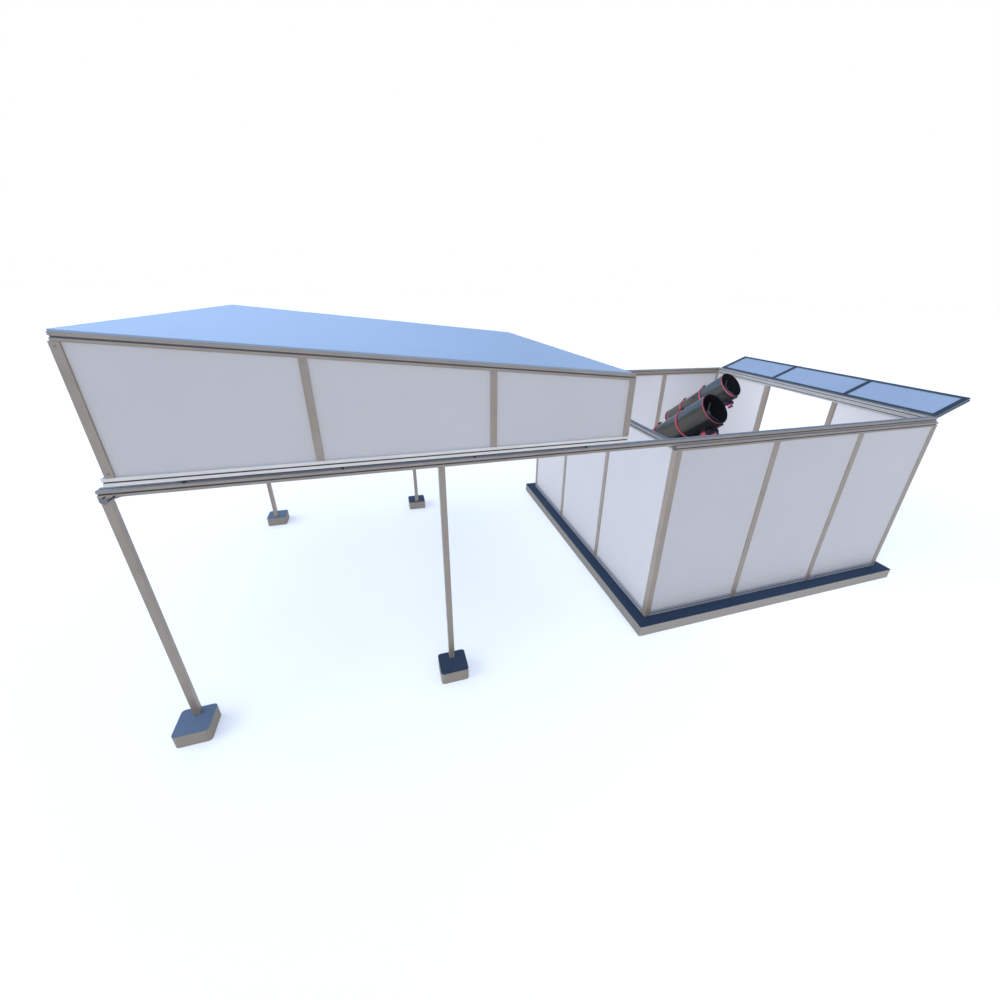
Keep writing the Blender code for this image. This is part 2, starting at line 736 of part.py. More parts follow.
def buildFocuser(name, tail, parent):
    """The focuser near the mouth: plate, base, body with two knobs, and a capped drawtube."""
    foot = focuserBlock(f"{name}_focuser", tail, focuserBase, parts)
    join(foot, focuserBlock(f"{name}_focuser_plate", tail, focuserPlate, cutters))
    join(foot, focuserBlock(f"{name}_focuser_body", tail, focuserBody, cutters))
    shell = cylinder(f"{name}_focuser_bore", tubeRadius + gap, 0, tubeLength + overcut, cutters, red,
                     tail, 48)
    cut(foot, shell)
    place = (focuserBody["span"][0] + focuserBody["span"][1]) / 2
    draw = tail @ Matrix.Translation((0, 0, place)) @ Matrix.Rotation(-math.pi / 2, 4, "Y")
    join(foot, cylinder(f"{name}_drawtube", drawtubeRadius, tubeRadius + drawtubeSpan[0],
                        tubeRadius + drawtubeSpan[1], cutters, red, draw, 24))
    join(foot, cylinder(f"{name}_drawtube_cap", capRadius, tubeRadius + capSpan[0], tubeRadius + capSpan[1],
                        cutters, darkMetal, draw, 24))
    axle = alongY(Vector((-tubeRadius - knobRise, 0, place)))
    join(foot, cylinder(f"{name}_knob_axle", knobAxle, -knobSpan[1], knobSpan[1], cutters, darkMetal,
                        tail @ axle, 16))
    for side in (-1, 1):
        rows = sorted((side * knobSpan[0], side * knobSpan[1]))
        join(foot, cylinder(f"{name}_focuser_knob_{side + 2}", knobRadius, rows[0], rows[1], cutters,
                            darkMetal, tail @ axle, 24))
    attach(foot, parent)


buildFoundations()
buildRunway()
buildRoom()
buildRoof()
buildFlap()
for telescopeName, telescopeSpot in telescopeSpots.items():
    buildTelescope(telescopeName, telescopeSpot)
bpy.context.view_layer.update()
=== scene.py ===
import math
from functools import partial

import bmesh
import bpy
from mathutils import Matrix, Vector


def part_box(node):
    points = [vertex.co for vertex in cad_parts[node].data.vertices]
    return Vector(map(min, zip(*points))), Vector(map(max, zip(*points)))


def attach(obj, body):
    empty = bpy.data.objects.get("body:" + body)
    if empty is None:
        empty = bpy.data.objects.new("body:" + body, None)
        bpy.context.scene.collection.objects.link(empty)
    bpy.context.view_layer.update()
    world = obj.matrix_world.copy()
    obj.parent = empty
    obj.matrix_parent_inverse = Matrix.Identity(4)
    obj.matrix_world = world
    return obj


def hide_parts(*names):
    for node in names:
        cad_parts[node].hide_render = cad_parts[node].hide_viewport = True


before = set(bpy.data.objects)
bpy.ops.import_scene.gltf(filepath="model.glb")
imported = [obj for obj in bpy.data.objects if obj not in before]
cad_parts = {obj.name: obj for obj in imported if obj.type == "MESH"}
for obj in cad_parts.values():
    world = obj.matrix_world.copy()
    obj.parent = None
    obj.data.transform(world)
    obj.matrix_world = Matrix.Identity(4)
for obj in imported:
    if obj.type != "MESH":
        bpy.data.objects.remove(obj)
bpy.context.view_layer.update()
print("stage: frame loaded")


def linear(code):
    # sRGB hex to the linear colour that the shaders take
    values = [int(code[place:place + 2], 16) / 255 for place in (1, 3, 5)]
    return (*[v / 12.92 if v <= 0.04045 else ((v + 0.055) / 1.055) ** 2.4 for v in values], 1.0)


def feed(node, links):
    # links go from an input to the socket that feeds it, or to a node, which gives its first output in use
    for key, source in links.items():
        if isinstance(source, bpy.types.Node):
            source = next(socket for socket in source.outputs if socket.enabled)
        node.id_data.links.new(source, node.inputs[key])


def addNode(tree, kind, settings=None, links=None):
    # settings hold properties, input values, hex colours, and the stops of a colour ramp
    node = tree.nodes.new(kind)
    for key, value in (settings or {}).items():
        if key == "stops":
            for element, (place, code) in zip(node.color_ramp.elements, value):
                element.position, element.color = place, linear(code)
        elif isinstance(key, str) and hasattr(node, key):
            setattr(node, key, value)
        else:
            colour = isinstance(value, str) and value.startswith("#")
            node.inputs[key].default_value = linear(value) if colour else value
    feed(node, links or {})
    return node


def newMaterial(name, colour, roughness, metallic=0.0, values=None):
    material = bpy.data.materials.new(name)
    material.use_nodes = True
    shader = material.node_tree.nodes["Principled BSDF"]
    shader.inputs["Base Color"].default_value = linear(colour)
    for key, value in {"Roughness": roughness, "Metallic": metallic, **(values or {})}.items():
        shader.inputs[key].default_value = value
    return material, shader, partial(addNode, material.node_tree)


def linkObject(name, data):
    item = bpy.data.objects.new(name, data)
    bpy.context.scene.collection.objects.link(item)
    return item


def meshPiece(name, shape, material):
    # a bmesh becomes an object whose place is in its mesh
    mesh = bpy.data.meshes.new(name)
    bmesh.ops.recalc_face_normals(shape, faces=shape.faces)
    shape.to_mesh(mesh)
    shape.free()
    mesh.materials.append(material)
    return linkObject(name, mesh)


def joinPieces(name, items):
    # several meshes become one piece, with their materials and attributes kept
    bpy.ops.object.select_all(action="DESELECT")
    for item in items:
        item.select_set(True)
    bpy.context.view_layer.objects.active = items[0]
    if len(items) > 1:
        bpy.ops.object.join()
    items[0].name = name
    items[0].data.name = name
    return items[0]


def finishPiece(piece, body, slotName, *nodes):
    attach(piece, body)
    if nodes:
        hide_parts(*nodes)


def newTree(name, inputs):
    tree = bpy.data.node_groups.new(name, "GeometryNodeTree")
    for label, kind, value in (("Geometry", "Geometry", None), *inputs):
        socket = tree.interface.new_socket(label, in_out="INPUT", socket_type="NodeSocket" + kind)
        if value is not None:
            socket.default_value = value
    tree.interface.new_socket("Geometry", in_out="OUTPUT", socket_type="NodeSocketGeometry")
    return addNode(tree, "NodeGroupInput"), partial(addNode, tree)


def closeTree(entry, add, geometry):
    # every tree ends the same way: real geometry with its material
    real = add("GeometryNodeRealizeInstances", None, {"Geometry": geometry})
    painted = add("GeometryNodeSetMaterial", None, {"Geometry": real, "Material": entry.outputs["Finish"]})
    return add("NodeGroupOutput", None, {0: painted}).id_data


def grow(name, tree, points, columns, values):
    # runs a node tree on a cloud of points and keeps the result as a plain mesh. Each column is a named
    # attribute of the points
    mesh = bpy.data.meshes.new(name)
    mesh.from_pydata(points, [], [])
    for label, column in columns.items():
        if isinstance(column[0], tuple):
            data = mesh.attributes.new(label, "FLOAT_VECTOR", "POINT").data
            data.foreach_set("vector", [value for row in column for value in row])
        else:
            mesh.attributes.new(label, "FLOAT", "POINT").data.foreach_set("value", column)
    source = linkObject(name, mesh)
    modifier = source.modifiers.new(tree.name, "NODES")
    modifier.node_group = tree
    for item in tree.interface.items_tree:
        if item.in_out == "INPUT" and item.name in values:
            modifier[item.identifier] = values[item.name]
    bpy.context.view_layer.update()
    graph = bpy.context.evaluated_depsgraph_get()
    result = bpy.data.meshes.new_from_object(source.evaluated_get(graph))
    result.name = name
    source.modifiers.clear()
    bpy.data.objects.remove(source)
    return linkObject(name, result)


# Camera, at the photograph's viewing angle
cameraSetup = {"place": (-3.8506, -4.2922, 3.0038), "yaw": 0.3247, "pitch": -0.4331, "roll": 0.0295,
               "focal": 0.422307, "centre": (0.519696, 0.486489), "sensor": 36, "far": 500}


def addCamera(setup):
    yaw, pitch, roll = setup["yaw"], setup["pitch"], setup["roll"]
    forward = Vector((math.sin(yaw) * math.cos(pitch), math.cos(yaw) * math.cos(pitch), math.sin(pitch)))
    right = Vector((math.cos(yaw), -math.sin(yaw), 0))
    up = right.cross(forward)
    across = right * math.cos(roll) + up * math.sin(roll)
    above = up * math.cos(roll) - right * math.sin(roll)
    lens = bpy.data.cameras.new("Camera")
    lens.sensor_width = setup["sensor"]
    lens.lens = setup["sensor"] * setup["focal"]
    lens.shift_x = 0.5 - setup["centre"][0]
    lens.shift_y = setup["centre"][1] - 0.5
    lens.clip_end = setup["far"]
    camera = linkObject("Camera", lens)
    turn = Matrix((across, above, -forward)).transposed().to_4x4()
    camera.matrix_world = Matrix.Translation(setup["place"]) @ turn
    bpy.context.scene.camera = camera


addCamera(cameraSetup)

# Light: soft lamps without hard shadows, brightest from the runway side, a white backdrop, and a light
# blue sky that only shows in reflections, brightest over the runway and paler towards the door
studio = {"backdrop": "#FFFFFF", "ambient": "#9FA3AA", "floor": "#F3F3F3", "floorLevel": -0.002,
          "floorHalf": 200, "sky": ((0.0, "#AECDFC"), (0.7, "#8EA8D4")), "skyFade": (-0.45, 0.35, 1.34, 0.78),
          "lampAngle": 70,
          "lamps": {"left": ((-1.0, 0.0, 0.35), 3.3, "#EDF4FF"),
                    "front": ((0.0, -1.0, 0.35), 0.95, "#FFFFFF"),
                    "right": ((1.0, 0.0, 0.35), 0.6, "#FFFFFF"),
                    "back": ((0.0, 1.0, 0.35), 0.6, "#FFFFFF"),
                    "above": ((0.0, 0.0, 1.0), 1.5, "#BFD6FF")},
          "roomLamp": {"energy": 120.0, "colour": "#E6EEFF", "size": 0.4, "place": (0.1, 0.0, 1.1)}}


def addLamp(name, kind, energy, colour):
    # a lamp that casts no shadow and leaves no highlight
    lamp = bpy.data.lights.new(name, kind)
    lamp.energy = energy
    lamp.color = linear(colour)[:3]
    lamp.use_shadow = False
    item = linkObject(name, lamp)
    item.visible_glossy = False
    return item


def addStudio(setup):
    world = bpy.data.worlds.new("Studio")
    bpy.context.scene.world = world
    world.use_nodes = True
    add = partial(addNode, world.node_tree)
    coordinates = add("ShaderNodeTexCoord")
    height = add("ShaderNodeSeparateXYZ", None, {0: coordinates.outputs["Generated"]})
    sky = add("ShaderNodeValToRGB", {"stops": setup["sky"]}, {"Fac": height.outputs["Z"]})
    fade = add("ShaderNodeMapRange",
               dict(zip(("From Min", "From Max", "To Min", "To Max"), setup["skyFade"])),
               {"Value": height.outputs["X"]})
    faded = add("ShaderNodeVectorMath", {"operation": "SCALE"}, {0: sky, "Scale": fade})
    ray = add("ShaderNodeLightPath")
    reflected = add("ShaderNodeMix", {"data_type": "RGBA", 6: setup["ambient"]},
                    {"Factor": ray.outputs["Is Glossy Ray"], 7: faded})
    seen = add("ShaderNodeMix", {"data_type": "RGBA", 7: setup["backdrop"]},
               {"Factor": ray.outputs["Is Camera Ray"], 6: reflected})
    feed(world.node_tree.nodes["Background"], {"Color": seen})
    for name, (side, strength, colour) in setup["lamps"].items():
        item = addLamp(f"Lamp {name}", "SUN", strength, colour)
        item.data.angle = math.radians(setup["lampAngle"])
        item.rotation_euler = Vector(side).to_track_quat("Z", "Y").to_euler()
    room = setup["roomLamp"]
    item = addLamp("Room lamp", "POINT", room["energy"], room["colour"])
    item.data.shadow_soft_size = room["size"]
    item.location = room["place"]
    shape = bmesh.new()
    bmesh.ops.create_grid(shape, x_segments=1, y_segments=1, size=setup["floorHalf"])
    matte = newMaterial("Pale matte studio floor", setup["floor"], 0.9, 0.0, {"Specular IOR Level": 0.0})
    floor = meshPiece("studio_floor", shape, matte[0])
    floor.location.z = setup["floorLevel"]
    bpy.context.scene.view_settings.view_transform = "Standard"


addStudio(studio)
print("stage: camera and light")


# Materials

def finishSurface(shader, colour, texture, rough, height, strength, distance):
    # every surface ends alike: its colour, a roughness that follows a texture, and a fine relief
    add = partial(addNode, shader.id_data)
    varied = add("ShaderNodeMapRange", {"To Min": rough[0], "To Max": rough[1]}, {"Value": texture})
    bump = add("ShaderNodeBump", {"Strength": strength, "Distance": distance}, {"Height": height})
    feed(shader, {"Base Color": colour, "Roughness": varied, "Normal": bump})


def anodisedAluminium(name, colour, deep, paintedSkyTint, roughness, metallic):
    # Extruded and anodised aluminium: a matte metal with faint die lines along each bar, so its
    # highlights stretch across the bar and each length has its own slight tone
    material, shader, add = newMaterial(name, colour, roughness, metallic)
    place = add("ShaderNodeAttribute", {"attribute_name": "barPlace"}).outputs["Vector"]
    stretch = add("ShaderNodeMapping", {"Scale": (1, 1, 0.012)}, {"Vector": place})
    # die lines about 1.5 mm apart
    lines = add("ShaderNodeTexNoise", {"Scale": 650.0, "Detail": 2.0}, {"Vector": stretch})
    cloud = add("ShaderNodeTexNoise", {"Scale": 5.0, "Detail": 3.0}, {"Vector": place})
    shade = add("ShaderNodeMath", {"operation": "MULTIPLY_ADD", 1: 0.35}, {0: lines, 2: cloud})
    ramp = add("ShaderNodeValToRGB", {"stops": ((0.45, deep), (0.95, colour))}, {"Fac": shade})
    # painted reflection: faces that look up are mixed towards a blue-grey that paints in the sky's reflection
    geometry = add("ShaderNodeNewGeometry")
    upward = add("ShaderNodeSeparateXYZ", None, {0: geometry.outputs["True Normal"]})
    skyReflectionMask = add("ShaderNodeMapRange", {"From Min": 0.6, "From Max": 0.95, "To Max": 0.8},
                {"Value": upward.outputs["Z"]})
    skyTinted = add("ShaderNodeMix", {"data_type": "RGBA", 7: paintedSkyTint}, {"Factor": skyReflectionMask, 6: ramp})
    # painted shade: points deep in a slot are darkened, so the slots read as dark lines along the bar
    depth = add("ShaderNodeAttribute", {"attribute_name": "slotDepth"})
    inside = add("ShaderNodeMapRange", {"From Min": 0.0015, "From Max": 0.0034},
                 {"Value": depth.outputs["Fac"]})
    shaded = add("ShaderNodeMix", {"data_type": "RGBA", 7: "#56575B"}, {"Factor": inside, 6: skyTinted})
    finishSurface(shader, shaded, cloud, (roughness - 0.07, roughness + 0.09), lines, 0.12, 0.0004)
    return material


# each metal's fourth colour is the painted sky reflection on its upward faces
profileMetal = anodisedAluminium("Anodised aluminium profile", "#94897C", "#857B70", "#868D97", 0.40, 0.40)
beamMetal = anodisedAluminium("Silver anodised aluminium beam", "#A9A6A3", "#9A9896", "#48515C", 0.38, 0.35)
wallBeamMetal = anodisedAluminium("Weathered anodised aluminium beam", "#8A8885", "#7E7C7A", "#6E7179",
                                  0.40, 0.35)
sillMetal = anodisedAluminium("Silver anodised aluminium sill", "#A2A2A5", "#949599", "#828C9C", 0.38, 0.35)
# a lighter copy of the profile metal for the roof's bottom chords: its pale tone is a painted highlight
highlightProfile = anodisedAluminium("Anodised aluminium profile with a painted highlight", "#C8C3BC", "#BDB8B2", "#A9B2BF",
                                0.40, 0.20)
# a darker, bluer copy of the profile metal for the open flap's frame: its tone is a painted reflection of the
# sky
flapProfile = anodisedAluminium("Anodised aluminium profile with painted dark sky reflection", "#5E696D", "#525D63", "#26323F", 0.34, 0.5)


def sheetMaterial(name, colour, deep, roughness, coat, grain, edge=None):
    # a flat painted sheet: nearly even colour, with a broad faint cloud and a fine orange peel of its paint
    material, shader, add = newMaterial(name, colour, roughness, 0.0,
                                        {"Coat Weight": coat, "Coat Roughness": 0.2})
    place = add("ShaderNodeTexCoord").outputs["Object"]
    cloud = add("ShaderNodeTexNoise", {"Scale": 1.3, "Detail": 4.0, "Roughness": 0.6}, {"Vector": place})
    face = add("ShaderNodeValToRGB", {"stops": ((0.3, deep), (0.7, colour))}, {"Fac": cloud})
    if edge is not None:
        # painted shade: the sheet's edge is darker, on every side that doesn't face up or down
        geometry = add("ShaderNodeNewGeometry")
        height = add("ShaderNodeSeparateXYZ", None, {0: geometry.outputs["True Normal"]})
        upright = add("ShaderNodeMath", {"operation": "ABSOLUTE"}, {0: height.outputs["Z"]})
        side = add("ShaderNodeMath", {"operation": "LESS_THAN", 1: 0.5}, {0: upright})
        face = add("ShaderNodeMix", {"data_type": "RGBA", 7: edge}, {"Factor": side, 6: face})
    peel = add("ShaderNodeTexNoise", {"Scale": grain, "Detail": 3.0}, {"Vector": place})
    finishSurface(shader, face, peel, (roughness - 0.05, roughness + 0.05), peel, 0.06, 0.0003)
    return material


# Composite wall panel with a satin lacquer: a soft cool grey that picks up the sky
panelSkin = sheetMaterial("Satin lacquered composite panel", "#ACAAAB", "#A9A7A8", 0.42, 0.12, 350.0)
# Coil-coated steel with a soft sheen; its even light blue is a painted reflection of the sky
roofSkin = sheetMaterial("Light blue coil-coated steel", "#90A8C2", "#8BA3BE", 0.22, 0.5, 300.0, "#758397")
# the flap's sheet: its blue is a painted reflection of the sky
flapSkin = sheetMaterial("Coil-coated steel painted blue as the sky's reflection", "#8597AF", "#8092AA", 0.30, 0.35, 300.0)


# the painted sky reflection covers the top face, 110 mm up, and ends just below its edge
concrete = {"top": 0.11, "reflectionStart": -0.0006, "reflectionFull": 0.0002, "darkEndBelow": -1.715}


def concreteMaterial(name, side, topReflection, topReflectionMottled, runwayEndX=None):
    # Cast concrete: sandy matte sides with pores, and a dark blue top that is a painted reflection of the
    # sky, mottled by a stain noise
    material, shader, add = newMaterial(name, side, 0.85, 0.0, {"Specular IOR Level": 0.25})
    place = add("ShaderNodeTexCoord").outputs["Object"]
    height = add("ShaderNodeSeparateXYZ", None, {0: place})
    grit = add("ShaderNodeTexNoise", {"Scale": 90.0, "Detail": 6.0, "Roughness": 0.7}, {"Vector": place})
    stain = add("ShaderNodeTexNoise", {"Scale": 2.4, "Detail": 5.0}, {"Vector": place})
    pores = add("ShaderNodeTexVoronoi", {"Scale": 120.0}, {"Vector": place})
    bare = add("ShaderNodeMix", {"data_type": "RGBA", 6: side, 7: "#857F77"}, {"Factor": grit})
    if runwayEndX is not None:
        # the end under the runway, below x = -1.715, is darker
        runwayEndMask = add("ShaderNodeMath", {"operation": "LESS_THAN", 1: runwayEndX}, {0: height.outputs["X"]})
        bare = add("ShaderNodeMix", {"data_type": "RGBA", 7: "#726F69"}, {"Factor": runwayEndMask, 6: bare})
    reflectedTop = add("ShaderNodeMix", {"data_type": "RGBA", 6: topReflection, 7: topReflectionMottled}, {"Factor": stain})
    # the grit roughens the line where the painted reflection ends
    edge = add("ShaderNodeMath", {"operation": "MULTIPLY_ADD", 1: 0.002}, {0: grit, 2: height.outputs["Z"]})
    top = concrete["top"]
    reflectionMask = add("ShaderNodeMapRange",
               {"From Min": top + concrete["reflectionStart"], "From Max": top + concrete["reflectionFull"]},
               {"Value": edge})
    colour = add("ShaderNodeMix", {"data_type": "RGBA"}, {"Factor": reflectionMask, 6: bare, 7: reflectedTop})
    relief = add("ShaderNodeMath", {"operation": "ADD"}, {0: grit, 1: pores})
    finishSurface(shader, colour, reflectionMask, (0.88, 0.5), relief, 0.35, 0.001)
    return material


# the dark blue tops of slab and feet are painted sky reflections
slabConcrete = concreteMaterial("Cast concrete with dark blue floor paint", "#96918A", "#1C293A", "#213043",
                                concrete["darkEndBelow"])
outerFootConcrete = concreteMaterial("Cast concrete with a painted blue sky reflection on top", "#847C70", "#506074", "#58697E")
middleFootConcrete = concreteMaterial("Cast concrete with a painted dark sky reflection on top", "#847C70", "#273243", "#2E3A4D")


def machinedMaterial(name, colour, deep, roughness, metallic, scale, coat=0.0):
    # a turned or cast part: fine tone and roughness changes, and a light grain
    material, shader, add = newMaterial(name, colour, roughness, metallic, {"Coat Weight": coat})
    place = add("ShaderNodeTexCoord").outputs["Object"]
    grain = add("ShaderNodeTexNoise", {"Scale": scale, "Detail": 4.0}, {"Vector": place})
    ramp = add("ShaderNodeValToRGB", {"stops": ((0.35, deep), (0.65, colour))}, {"Fac": grain})
    finishSurface(shader, ramp, grain, (roughness - 0.06, roughness + 0.08), grain, 0.1, 0.0004)
    return material


# Moulded nylon: dull black with a dry sheen
nylon = machinedMaterial("Moulded black nylon", "#1B1B1D", "#131315", 0.55, 0.0, 400.0)
# Black anodised castings of the mounts: satin, a little blue in the light
blackMetal = machinedMaterial("Black anodised aluminium", "#1B1720", "#131117", 0.40, 0.3, 260.0)
# The focuser's knobs and cap: black anodised with a plum tint
plumMetal = machinedMaterial("Plum-black anodised aluminium", "#2C1A30", "#221426", 0.34, 0.4, 260.0)
# Spider vanes: thin sheet with a dark grey paint
spiderPaint = machinedMaterial("Dark grey painted sheet", "#3C3E43", "#313338", 0.6, 0.0, 300.0)
# Counterweights: black hammered enamel
weightPaint = machinedMaterial("Black hammered enamel", "#24252A", "#1A1B1F", 0.5, 0.0, 150.0, 0.1)
# Clear-coated red anodised rings: bright red with a pink edge where the light skims
redMetal = machinedMaterial("Red anodised aluminium", "#B9535E", "#A2434F", 0.36, 0.3, 260.0, 0.3)
# Rolled tube with a graphite powder coat: dark, with a slate sheen towards the sky
tubeSkin = machinedMaterial("Graphite powder-coated tube", "#74736B", "#6A6A63", 0.24, 0.95, 600.0, 0.2)
# Flocked inside of a tube: swallows the light
flock = machinedMaterial("Matte black flocking", "#0B0B0C", "#070708", 0.95, 0.0, 500.0)
# Painted steel piers
pierPaint = machinedMaterial("Grey enamelled steel", "#7A7F86", "#72777E", 0.45, 0.0, 180.0, 0.2)
# Zinc-plated screws
zinc = machinedMaterial("Zinc-plated steel screws", "#9A9A98", "#84837F", 0.35, 0.9, 500.0)
# Cast end brackets: zinc with a blue-grey passivation
bracketSteel = machinedMaterial("Blue-passivated zinc bracket", "#6B6E74", "#606369", 0.42, 0.4, 220.0)
# Mirror back and glass
glass = machinedMaterial("Aluminised glass mirror", "#C7CDD2", "#BFC6CC", 0.08, 1.0, 40.0)

print("stage: materials")

# Slotted profiles. A section is drawn once and every bar of it is an instance of the extruded section
slot = {"mouth": 0.010, "cavity": 0.018, "lip": 0.0035, "depth": 0.011, "corner": 0.0014}


def sectionCurve(name, sizeX, sizeY, slots):
    # slots names the sides that carry one T-slot each, in their middle
    corners = [Vector((-sizeX / 2, -sizeY / 2)), Vector((sizeX / 2, -sizeY / 2)),
               Vector((sizeX / 2, sizeY / 2)), Vector((-sizeX / 2, sizeY / 2))]
    mouth, cavity, lip, depth = slot["mouth"] / 2, slot["cavity"] / 2, slot["lip"], slot["depth"]
    groove = [(-mouth, 0), (-mouth, lip), (-cavity, lip), (-cavity, depth)]
    groove += [(-offset, level) for offset, level in reversed(groove)]
    points = []
    for index, side in enumerate(("-y", "+x", "+y", "-x")):
        start, end = corners[index], corners[(index + 1) % 4]
        length = (end - start).length
        along = (end - start) / length
        inward = Vector((-along.y, along.x))
        cut = [(length / 2 + offset, level) for offset, level in groove] if side in slots else []
        run = [(slot["corner"], 0), *cut, (length - slot["corner"], 0)]
        points += [start + along * reach + inward * level for reach, level in run]
    curve = bpy.data.curves.new(name, "CURVE")
    curve.dimensions = "2D"
    spline = curve.splines.new("POLY")
    spline.points.add(len(points) - 1)
    for target, point in zip(spline.points, points):
        target.co = (point.x, point.y, 0, 1)
    spline.use_cyclic_u = True
    return linkObject(name, curve)


def readAttributes(add, kinds):
    # what the points bring along, each under its own name
    return {name: add("GeometryNodeInputNamedAttribute", {"data_type": kind, "Name": name})
            for name, kind in kinds.items()}


def profileTree():
    entry, add = newTree("Profile bars", [("Section", "Object", None), ("Finish", "Material", None)])
    # what each bar brings along: its length and turn, how its head slopes, and where its grain starts
    given = readAttributes(add, {"barLength": "FLOAT", "barTurn": "FLOAT_VECTOR", "barRise": "FLOAT",
                                 "barTilt": "FLOAT", "barSeed": "FLOAT", "unitPlace": "FLOAT_VECTOR"})
    section = add("GeometryNodeObjectInfo", {"transform_space": "ORIGINAL"},
                  {"Object": entry.outputs["Section"]})
    face = add("GeometryNodeFillCurve", {"mode": "NGONS"}, {"Curve": section.outputs["Geometry"]})
    raised = add("GeometryNodeExtrudeMesh", {"mode": "FACES", "Offset": (0, 0, 1), "Individual": False},
                 {"Mesh": face})
    foot = add("GeometryNodeFlipFaces", None, {"Mesh": face})
    both = add("GeometryNodeJoinGeometry", None, {0: raised})
    feed(both, {0: foot})
    closed = add("GeometryNodeMergeByDistance", {"Distance": 0.0001}, {"Geometry": both})
    position = add("GeometryNodeInputPosition")
    marked = add("GeometryNodeStoreNamedAttribute",
                 {"data_type": "FLOAT_VECTOR", "domain": "POINT", "Name": "unitPlace"},
                 {"Geometry": closed, "Value": position})
    # how deep a point lies under the nearest side of its section
    extent = add("GeometryNodeBoundBox", None, {0: face})
    inward = add("ShaderNodeVectorMath", {"operation": "ABSOLUTE"}, {0: position})
    below = add("ShaderNodeVectorMath", {"operation": "SUBTRACT"}, {0: extent.outputs["Max"], 1: inward})
    sides = add("ShaderNodeSeparateXYZ", None, {0: below})
    nearest = add("ShaderNodeMath", {"operation": "MINIMUM"}, {0: sides.outputs["X"], 1: sides.outputs["Y"]})
    sunk = add("GeometryNodeStoreNamedAttribute",
               {"data_type": "FLOAT", "domain": "POINT", "Name": "slotDepth"},
               {"Geometry": marked, "Value": nearest})
    scale = add("ShaderNodeCombineXYZ", {0: 1.0, 1: 1.0}, {2: given["barLength"]})
    euler = add("FunctionNodeEulerToRotation", None, {0: given["barTurn"]})
    placed = add("GeometryNodeInstanceOnPoints", None,
                 {"Points": entry, "Instance": sunk, "Rotation": euler, "Scale": scale})
    real = add("GeometryNodeRealizeInstances", None, {"Geometry": placed})
    unit = add("ShaderNodeSeparateXYZ", None, {0: given["unitPlace"]})
    # a sloping bar rises along its length, and an upright one has its top cut to the slope
    slanted = add("ShaderNodeMath", {"operation": "MULTIPLY_ADD"},
                  {0: unit.outputs["X"], 1: given["barTilt"], 2: given["barRise"]})
    lift = add("ShaderNodeMath", {"operation": "MULTIPLY"}, {0: unit.outputs["Z"], 1: slanted})
    offset = add("ShaderNodeCombineXYZ", None, {2: lift})
    moved = add("GeometryNodeSetPosition", None, {"Geometry": real, "Offset": offset})
    reach = add("ShaderNodeMath", {"operation": "MULTIPLY_ADD"},
                {0: unit.outputs["Z"], 1: given["barLength"], 2: given["barSeed"]})
    grainPlace = add("ShaderNodeCombineXYZ", None, {0: unit.outputs["X"], 1: unit.outputs["Y"], 2: reach})
    grained = add("GeometryNodeStoreNamedAttribute",
                  {"data_type": "FLOAT_VECTOR", "domain": "POINT", "Name": "barPlace"},
                  {"Geometry": moved, "Value": grainPlace})
    return closeTree(entry, add, grained)


barTree = profileTree()
turns = {"x": (0, math.pi / 2, 0), "y": (-math.pi / 2, 0, 0), "z": (0, 0, 0)}
# each bar starts its grain 3.7 m further on, so no two look alike
grainStep = 3.7
barSeeds = [0.0]
sections = {}


def addSections(rows):
    # the size in X and Y as the section lies in an upright bar, and its slotted sides. Slots face out, in and
    # up as on the real frame
    for name, (sizeX, sizeY, *slots) in rows.items():
        sections[name] = sectionCurve(name, sizeX, sizeY, slots)


addSections({"rail": (0.045, 0.06, "-y", "+y", "-x", "+x"), "crossBeam": (0.06, 0.045, "-y", "+x", "-x"),
             "sillX": (0.06, 0.06, "-y", "+y"), "sillY": (0.06, 0.06, "-x", "+x"), "post": (0.06, 0.06),
             "runwayPost": (0.0446, 0.0446)})


def bar(axis, start, length, rise=0.0, tilt=0.0):
    return {"barTurn": turns[axis], "start": start, "barLength": length, "barRise": rise, "barTilt": tilt}


def makeBars(name, section, bars, material):
    columns = {key: [item[key] for item in bars] for key in ("barLength", "barRise", "barTilt", "barTurn")}
    columns["barSeed"] = [barSeeds[0] + grainStep * index for index in range(len(bars))]
    barSeeds[0] += grainStep * len(bars)
    return grow(name, barTree, [item["start"] for item in bars], columns,
                {"Section": sections[section], "Finish": material})


def profilePiece(name, body, node, rows, *others, turn=None):
    # rows of section, bars and material become one piece that takes the CAD node's place
    items = [makeBars(section, section, bars, material) for section, bars, material in rows]
    piece = joinPieces(name, [*items, *others])
    if turn is not None:
        piece.data.transform(turn)
    finishPiece(piece, body, "profile", node)


# The room's frame: its outer half width, the heights of the rails and of the beams under them
wall = {"half": 1.6, "post": 0.06, "sill": 0.06, "beam": 0.045, "beamTop": 1.892, "railTop": 1.937, "bays": 3,
        "gap": 0.0003, "railSeat": 0.02}


def wallBars(low, high, axis, corners):
    # posts, sills and the upper beam of one wall, along X or Y
    last = wall["half"] - wall["post"] / 2
    pitch = 2 * last / wall["bays"]
    across = (low[1 - axis] + high[1 - axis]) / 2
    foot, beam = low[2], wall["beamTop"] - wall["gap"] - wall["beam"]
    posts, sills = [], []
    for index in range(wall["bays"] + 1):
        centre = pitch * index - last
        if corners or 0 < index < wall["bays"]:
            place = (centre, across) if axis == 0 else (across, centre)
            posts.append(bar("z", (*place, foot), beam - foot))
        if index < wall["bays"]:
            start = centre + wall["post"] / 2
            place = (start, across) if axis == 0 else (across, start)
            sills.append(bar("xy"[axis], (*place, foot + wall["sill"] / 2), pitch - wall["post"]))
    return posts, sills, across, beam + wall["beam"] / 2


